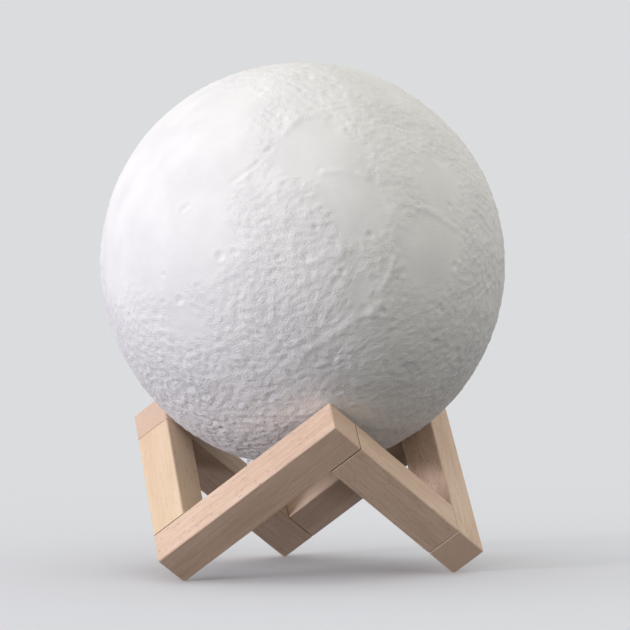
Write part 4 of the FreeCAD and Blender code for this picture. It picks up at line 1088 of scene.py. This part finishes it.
@dataclass
class Stand:
    """The ring of six beech bars and its hidden pins, each bar cut from its own length of wood."""

    foot_angle: float = 210.0
    third_turn: float = 120.0
    long_bars: tuple[str, ...] = ("front", "right", "rear")
    short_bars: tuple[str, ...] = ("front", "rear", "left")
    # what sets a length of wood apart from the others
    lengths: dict[str, dict[str, Any]] = field(default_factory=lambda: {
        "long_bar_front": {"fleck_share": 0.75},        # shows its rays the most
        "short_bar_left": {"pale": "#ECD4B9", "deep": "#E2C6A7", "fleck": "#A97C58",
                           "fleck_width": 1.1, "fleck_length": 4.2}})       # yellower, wider rays

    def edge(self, turn: float, step: int) -> Vector:
        """Works out the direction of one edge of a cube that stands on its corner.

        Args:
            turn: the bar's turn about the upright axis, in degrees.
            step: which of the corner's three edges.

        Returns:
            The direction, of length 1.
        """
        heading = math.radians(self.foot_angle + turn + step * self.third_turn)
        rise, spread = math.sqrt(1 / 3), math.sqrt(2 / 3)
        return Vector((spread * math.cos(heading), spread * math.sin(heading), rise))

    def ends(self, node: str, grain: Vector) -> tuple[float, ...]:
        """Where a packed bar's two ends lie along its grain, in mm."""
        reaches = [grain.dot(vertex.co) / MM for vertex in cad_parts[node].data.vertices]
        return min(reaches), max(reaches)

    def dress_bars(self) -> None:
        """Gives each bar beech whose grain runs along it, and the pins theirs."""
        for index, sides in enumerate(zip(self.long_bars, self.short_bars)):
            turn = index * self.third_turn
            for kind, side, grain, across in (("long", sides[0], 1, 2), ("short", sides[1], 0, 1)):
                node = f"{kind}_bar_{side}"
                beech = PlanedBeech(f"beech_{node}", self.edge(turn, grain),
                                    self.edge(turn, across), seed=1 + 2 * index + grain)
                # short bars butt against the long bars, so their ends get the painted shade of the
                # hairline gap
                if kind == "short":
                    beech = replace(beech, joints=self.ends(node, beech.grain))
                dress(node, replace(beech, **self.lengths.get(node, {})).material())
                LOG.info("%s: planed beech", node)
        pins = PlanedBeech("beech_turned_pins", self.edge(0, 0), self.edge(0, 1), seed=9)
        dress("dowel_pins", pins.material())
        LOG.info("dowel_pins: turned beech")


# ---------------------------------------------------------------- module and hidden pieces

# What each piece is and how it was made decides what the eye sees:
# ABS, injection moulded, gives an even fine texture and a soft sheen; brass and steel, turned or
# drawn, give circles or lines that spread the highlights; foam gives open cells; solder mask lies
# smooth over faint tracks; silicone leads are matt with a weak sheen.
FINISHES: dict[str, Finish] = {
    "neck_ring": Finish("printed_bioplastic_ring", "#F2F2F2", "#E7E7E8", Pattern.PRINTED, 0.4, 0.02,
                        0.6),
    "light_seal": Finish("eva_foam_white", "#E9E8E4", "#CFCDC7", Pattern.CELLS, 0.5, 0.06, 0.85),
    "base_cap": Finish("abs_moulded_white", "#EFEFED", "#E6E6E3", Pattern.MOULDED, 0.45, 0.01, 0.42,
                       ior=1.54),
    "touch_ring": Finish("brass_turned", "#D9B36B", "#C79C50", Pattern.TURNED, 0.25, 0.004, 0.28,
                         1.0),
    "touch_contact": Finish("brass_pin_turned", "#D6AE66", "#BF934A", Pattern.TURNED, 0.2, 0.003,
                            0.3, 1.0),
    "indicator_lens": Finish("acrylic_moulded_clear", "#F4F6F6", "#E6EAEA", Pattern.MOULDED, 1.5,
                             0.002, 0.12, ior=1.49, transmission=0.9),
    "indicator_lamp": Finish("epoxy_cast_red", "#B3261E", "#8F1B16", Pattern.MOULDED, 0.4, 0.003,
                             0.2),
    "charge_socket": Finish("stainless_steel_drawn", "#C4C5C7", "#A9AAAD", Pattern.BRUSHED, 0.12,
                            0.003, 0.26, 1.0),
    "socket_insulator": Finish("nylon_moulded_black", "#232325", "#18181A", Pattern.MOULDED, 0.3,
                               0.006, 0.5, ior=1.53),
    "control_board": Finish("solder_mask_green", "#1F6B45", "#2C8058", Pattern.TRACKS, 1.3, 0.02,
                            0.36),
    "control_chip": Finish("epoxy_moulded_black", "#2A2B2D", "#1F2022", Pattern.MOULDED, 0.2, 0.005,
                           0.55),
    "charge_coil": Finish("ferrite_pressed_grey", "#565659", "#454548", Pattern.MOULDED, 0.3, 0.012,
                          0.7),
    "board_capacitors": Finish("ceramic_fired_tan", "#B99A72", "#A58761", Pattern.MOULDED, 0.25,
                               0.004, 0.45),
    "board_screws": Finish("zinc_plated_steel", "#C9CBD0", "#B1B4BA", Pattern.TURNED, 0.2, 0.003,
                           0.32, 1.0),
    "module_housing": Finish("abs_moulded_housing", "#ECECEA", "#E2E2DF", Pattern.MOULDED, 0.6,
                             0.01, 0.48, ior=1.54),
    "battery_cell": Finish("pvc_shrink_sleeve_blue", "#2F62A3", "#27548E", Pattern.MOULDED, 2.5,
                           0.02, 0.3, ior=1.53),
    "cell_pads": Finish("pe_foam_grey", "#8B8C8E", "#6E6F71", Pattern.CELLS, 0.6, 0.08, 0.9),
    "cell_lead_plus": Finish("silicone_sleeve_red", "#B92A24", "#A5231E", Pattern.MOULDED, 0.5,
                             0.004, 0.5, ior=1.41),
    "cell_lead_minus": Finish("silicone_sleeve_black", "#29292B", "#202022", Pattern.MOULDED, 0.5,
                              0.004, 0.5, ior=1.41),
    "light_leads": Finish("silicone_sleeve_white", "#E6E6E4", "#DADAD8", Pattern.MOULDED, 0.5,
                          0.004, 0.5, ior=1.41),
    "heat_plate": Finish("aluminium_brushed", "#C3C5C8", "#AEB0B3", Pattern.BRUSHED, 0.18, 0.004,
                         0.34, 1.0),
    "light_board": Finish("solder_mask_white", "#EDEEEC", "#DADCDA", Pattern.TRACKS, 1.6, 0.02,
                          0.34),
    "light_chips": Finish("phosphor_cast_yellow", "#F0D65A", "#E3C546", Pattern.MOULDED, 0.3, 0.006,
                          0.4),
    "light_screws": Finish("zinc_plated_steel_small", "#CACCD1", "#B3B6BC", Pattern.TURNED, 0.2,
                           0.003, 0.32, 1.0),
    "diffuser_dome": Finish("polycarbonate_frosted", "#F3F3F1", "#E9E9E6", Pattern.MOULDED, 0.5,
                            0.02, 0.5, ior=1.58, transmission=0.35),
}


@dataclass
class LightModule:
    """Everything that screws into the globe's neck, and the ring and seal that it meets there."""

    finishes: dict[str, Finish] = field(default_factory=lambda: dict(FINISHES))

    def dress_pieces(self) -> None:
        """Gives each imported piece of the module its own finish."""
        for node, finish in self.finishes.items():
            dress(node, finish.material())
            LOG.info("%s: %s", node, finish.name)


# ---------------------------------------------------------------- studio

@dataclass(frozen=True)
class SoftLamp:
    """A wide soft lamp so far off that it lights the whole floor evenly."""

    name: str
    azimuth: float                  # from the front towards +X, degrees
    elevation: float
    spread: float                   # how wide the lamp looks from the globe, degrees
    strength: float                 # W/m2 on a surface that faces it
    tint: str


@dataclass
class Studio:
    """Camera, floor, sky and lamps."""

    aim: Vector
    azimuth: float = -8.804         # of the camera, seen from the lamp
    distance: float = 1487.3
    height: float = 137.78
    pan: float = -0.166
    pitch: float = -1.657
    roll: float = -0.928
    lens: float = 228.571
    sensor: float = 36.0
    clip: tuple[float, float] = (0.05, 100.0)       # nearest and farthest that it sees, m
    pale: str = "#DBDCDE"           # the sky behind the lamp
    floor_seen: str = "#E9ECF7"     # the floor's colour, which the light turns to the same grey
    floor_shade: str = "#46464A"    # how light the floor is to the light that bounces off it
    floor_reach: float = 12000.0
    floor_sides: int = 96
    floor_gap: float = 0.05         # between the feet and the floor
    zenith: float = 0.74            # the sky's light straight above and at the horizon
    horizon: float = 0.98
    sky_tint: str = "#FFFDF3"
    lamps: tuple[SoftLamp, ...] = (
        SoftLamp("key", -74.0, 3.0, 20.0, 2.49, "#F5F1FF"),)

    def build(self) -> None:
        """Makes the camera, the floor, the sky and the lamps."""
        scene = bpy.context.scene
        scene.view_settings.view_transform = "Standard"
        self.make_camera(scene)
        self.make_floor()
        self.make_sky(scene)
        for lamp in self.lamps:
            self.make_lamp(lamp)
        LOG.info("studio: camera, floor, sky and %d lamp(s)", len(self.lamps))

    def make_camera(self, scene: bpy.types.Scene) -> None:
        """Puts the camera where the photograph was taken from.

        Args:
            scene: the scene that receives the camera.
        """
        camera = scene.camera = add_object("camera", bpy.data.cameras.new("camera"))
        camera.data.lens = self.lens
        camera.data.sensor_width = self.sensor
        camera.data.clip_start, camera.data.clip_end = self.clip
        side = math.radians(self.azimuth)
        where = Vector((self.distance * math.sin(side), -self.distance * math.cos(side),
                        self.height)) * MM
        turn = (Matrix.Rotation(math.radians(self.azimuth + self.pan), 4, "Z")
                @ Matrix.Rotation(math.radians(90 + self.pitch), 4, "X")
                @ Matrix.Rotation(math.radians(self.roll), 4, "Z"))
        camera.matrix_world = Matrix.Translation(where) @ turn

    def make_floor(self) -> None:
        """Lays a wide level floor that is pale to the camera and greyer to bounced light."""
        turns = [2 * math.pi * index / self.floor_sides for index in range(self.floor_sides)]
        mesh = bpy.data.meshes.new("floor")
        mesh.from_pydata([(self.floor_reach * MM * math.cos(turn),
                           self.floor_reach * MM * math.sin(turn), -self.floor_gap * MM)
                          for turn in turns], [], [tuple(range(len(turns)))])
        material = bpy.data.materials.new("paper_matt_pale")
        material.use_nodes = True
        tree = material.node_tree
        tree.nodes.clear()
        bounced, seen = (add_node(tree, "ShaderNodeBsdfDiffuse", sockets={"Color": linear(code)})
                         for code in (self.floor_shade, self.floor_seen))
        both = add_node(tree, "ShaderNodeMixShader", sockets={
            "Fac": self.is_looked_at(tree), 1: bounced.outputs["BSDF"], 2: seen.outputs["BSDF"]})
        add_node(tree, "ShaderNodeOutputMaterial", sockets={"Surface": both.outputs["Shader"]})
        mesh.materials.append(material)
        add_object("floor", mesh)

    def is_looked_at(self, tree: Tree) -> Socket:
        """Tells what the camera sees, straight, mirrored or through glass, from what only lights.

        Args:
            tree: the node tree of the floor or the sky.

        Returns:
            The output that is 1 for what the camera sees.
        """
        path = add_node(tree, "ShaderNodeLightPath").outputs
        seen = path["Is Camera Ray"]
        for kind in ("Is Glossy Ray", "Is Transmission Ray"):
            seen = add_node(tree, "ShaderNodeMath", {"operation": "MAXIMUM"},
                            {0: seen, 1: path[kind]}).outputs[0]
        return seen

    def make_sky(self, scene: bpy.types.Scene) -> None:
        """Gives soft light that changes from the horizon up to the zenith, over a plain backdrop.

        Args:
            scene: the scene that receives the sky.
        """
        world = bpy.data.worlds.new("studio_sky")
        scene.world = world
        world.use_nodes = True
        tree = world.node_tree
        tree.nodes.clear()
        towards = add_node(tree, "ShaderNodeTexCoord").outputs["Generated"]
        up = add_node(tree, "ShaderNodeSeparateXYZ", sockets={"Vector": towards}).outputs["Z"]
        level = add_node(tree, "ShaderNodeMapRange", sockets={
            "Value": up, "To Min": self.horizon, "To Max": self.zenith}).outputs["Result"]
        light = add_node(tree, "ShaderNodeBackground", sockets={
            "Color": linear(self.sky_tint), "Strength": level})
        pale = add_node(tree, "ShaderNodeBackground", sockets={"Color": linear(self.pale)})
        both = add_node(tree, "ShaderNodeMixShader", sockets={
            "Fac": self.is_looked_at(tree), 1: light.outputs["Background"],
            2: pale.outputs["Background"]})
        add_node(tree, "ShaderNodeOutputWorld", sockets={"Surface": both.outputs["Shader"]})

    def make_lamp(self, lamp: SoftLamp) -> None:
        """Turns one lamp so that it shines on the globe.

        Args:
            lamp: what it is and where it stands.
        """
        data = bpy.data.lights.new(lamp.name, "SUN")
        data.angle = math.radians(lamp.spread)
        data.energy = lamp.strength
        data.color = linear(lamp.tint)[:3]
        towards = Vector(way(lamp.azimuth, lamp.elevation))
        hung = add_object(lamp.name, data)
        hung.matrix_world = (Matrix.Translation(self.aim + towards)
                             @ towards.to_track_quat("Z", "Y").to_matrix().to_4x4())


def main() -> None:
    """Builds and dresses the lamp, then its studio."""
    logging.basicConfig(level=logging.INFO, format="%(name)s: %(message)s")
    low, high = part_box("globe_shell")
    radius = (high.x - low.x) / 2
    centre = Vector((0, 0, high.z - radius))
    Globe(centre, radius / MM).build()
    Stand().dress_bars()
    LightModule().dress_pieces()
    Studio(centre).build()
    bpy.context.view_layer.update()


if __name__ == "__main__":
    main()
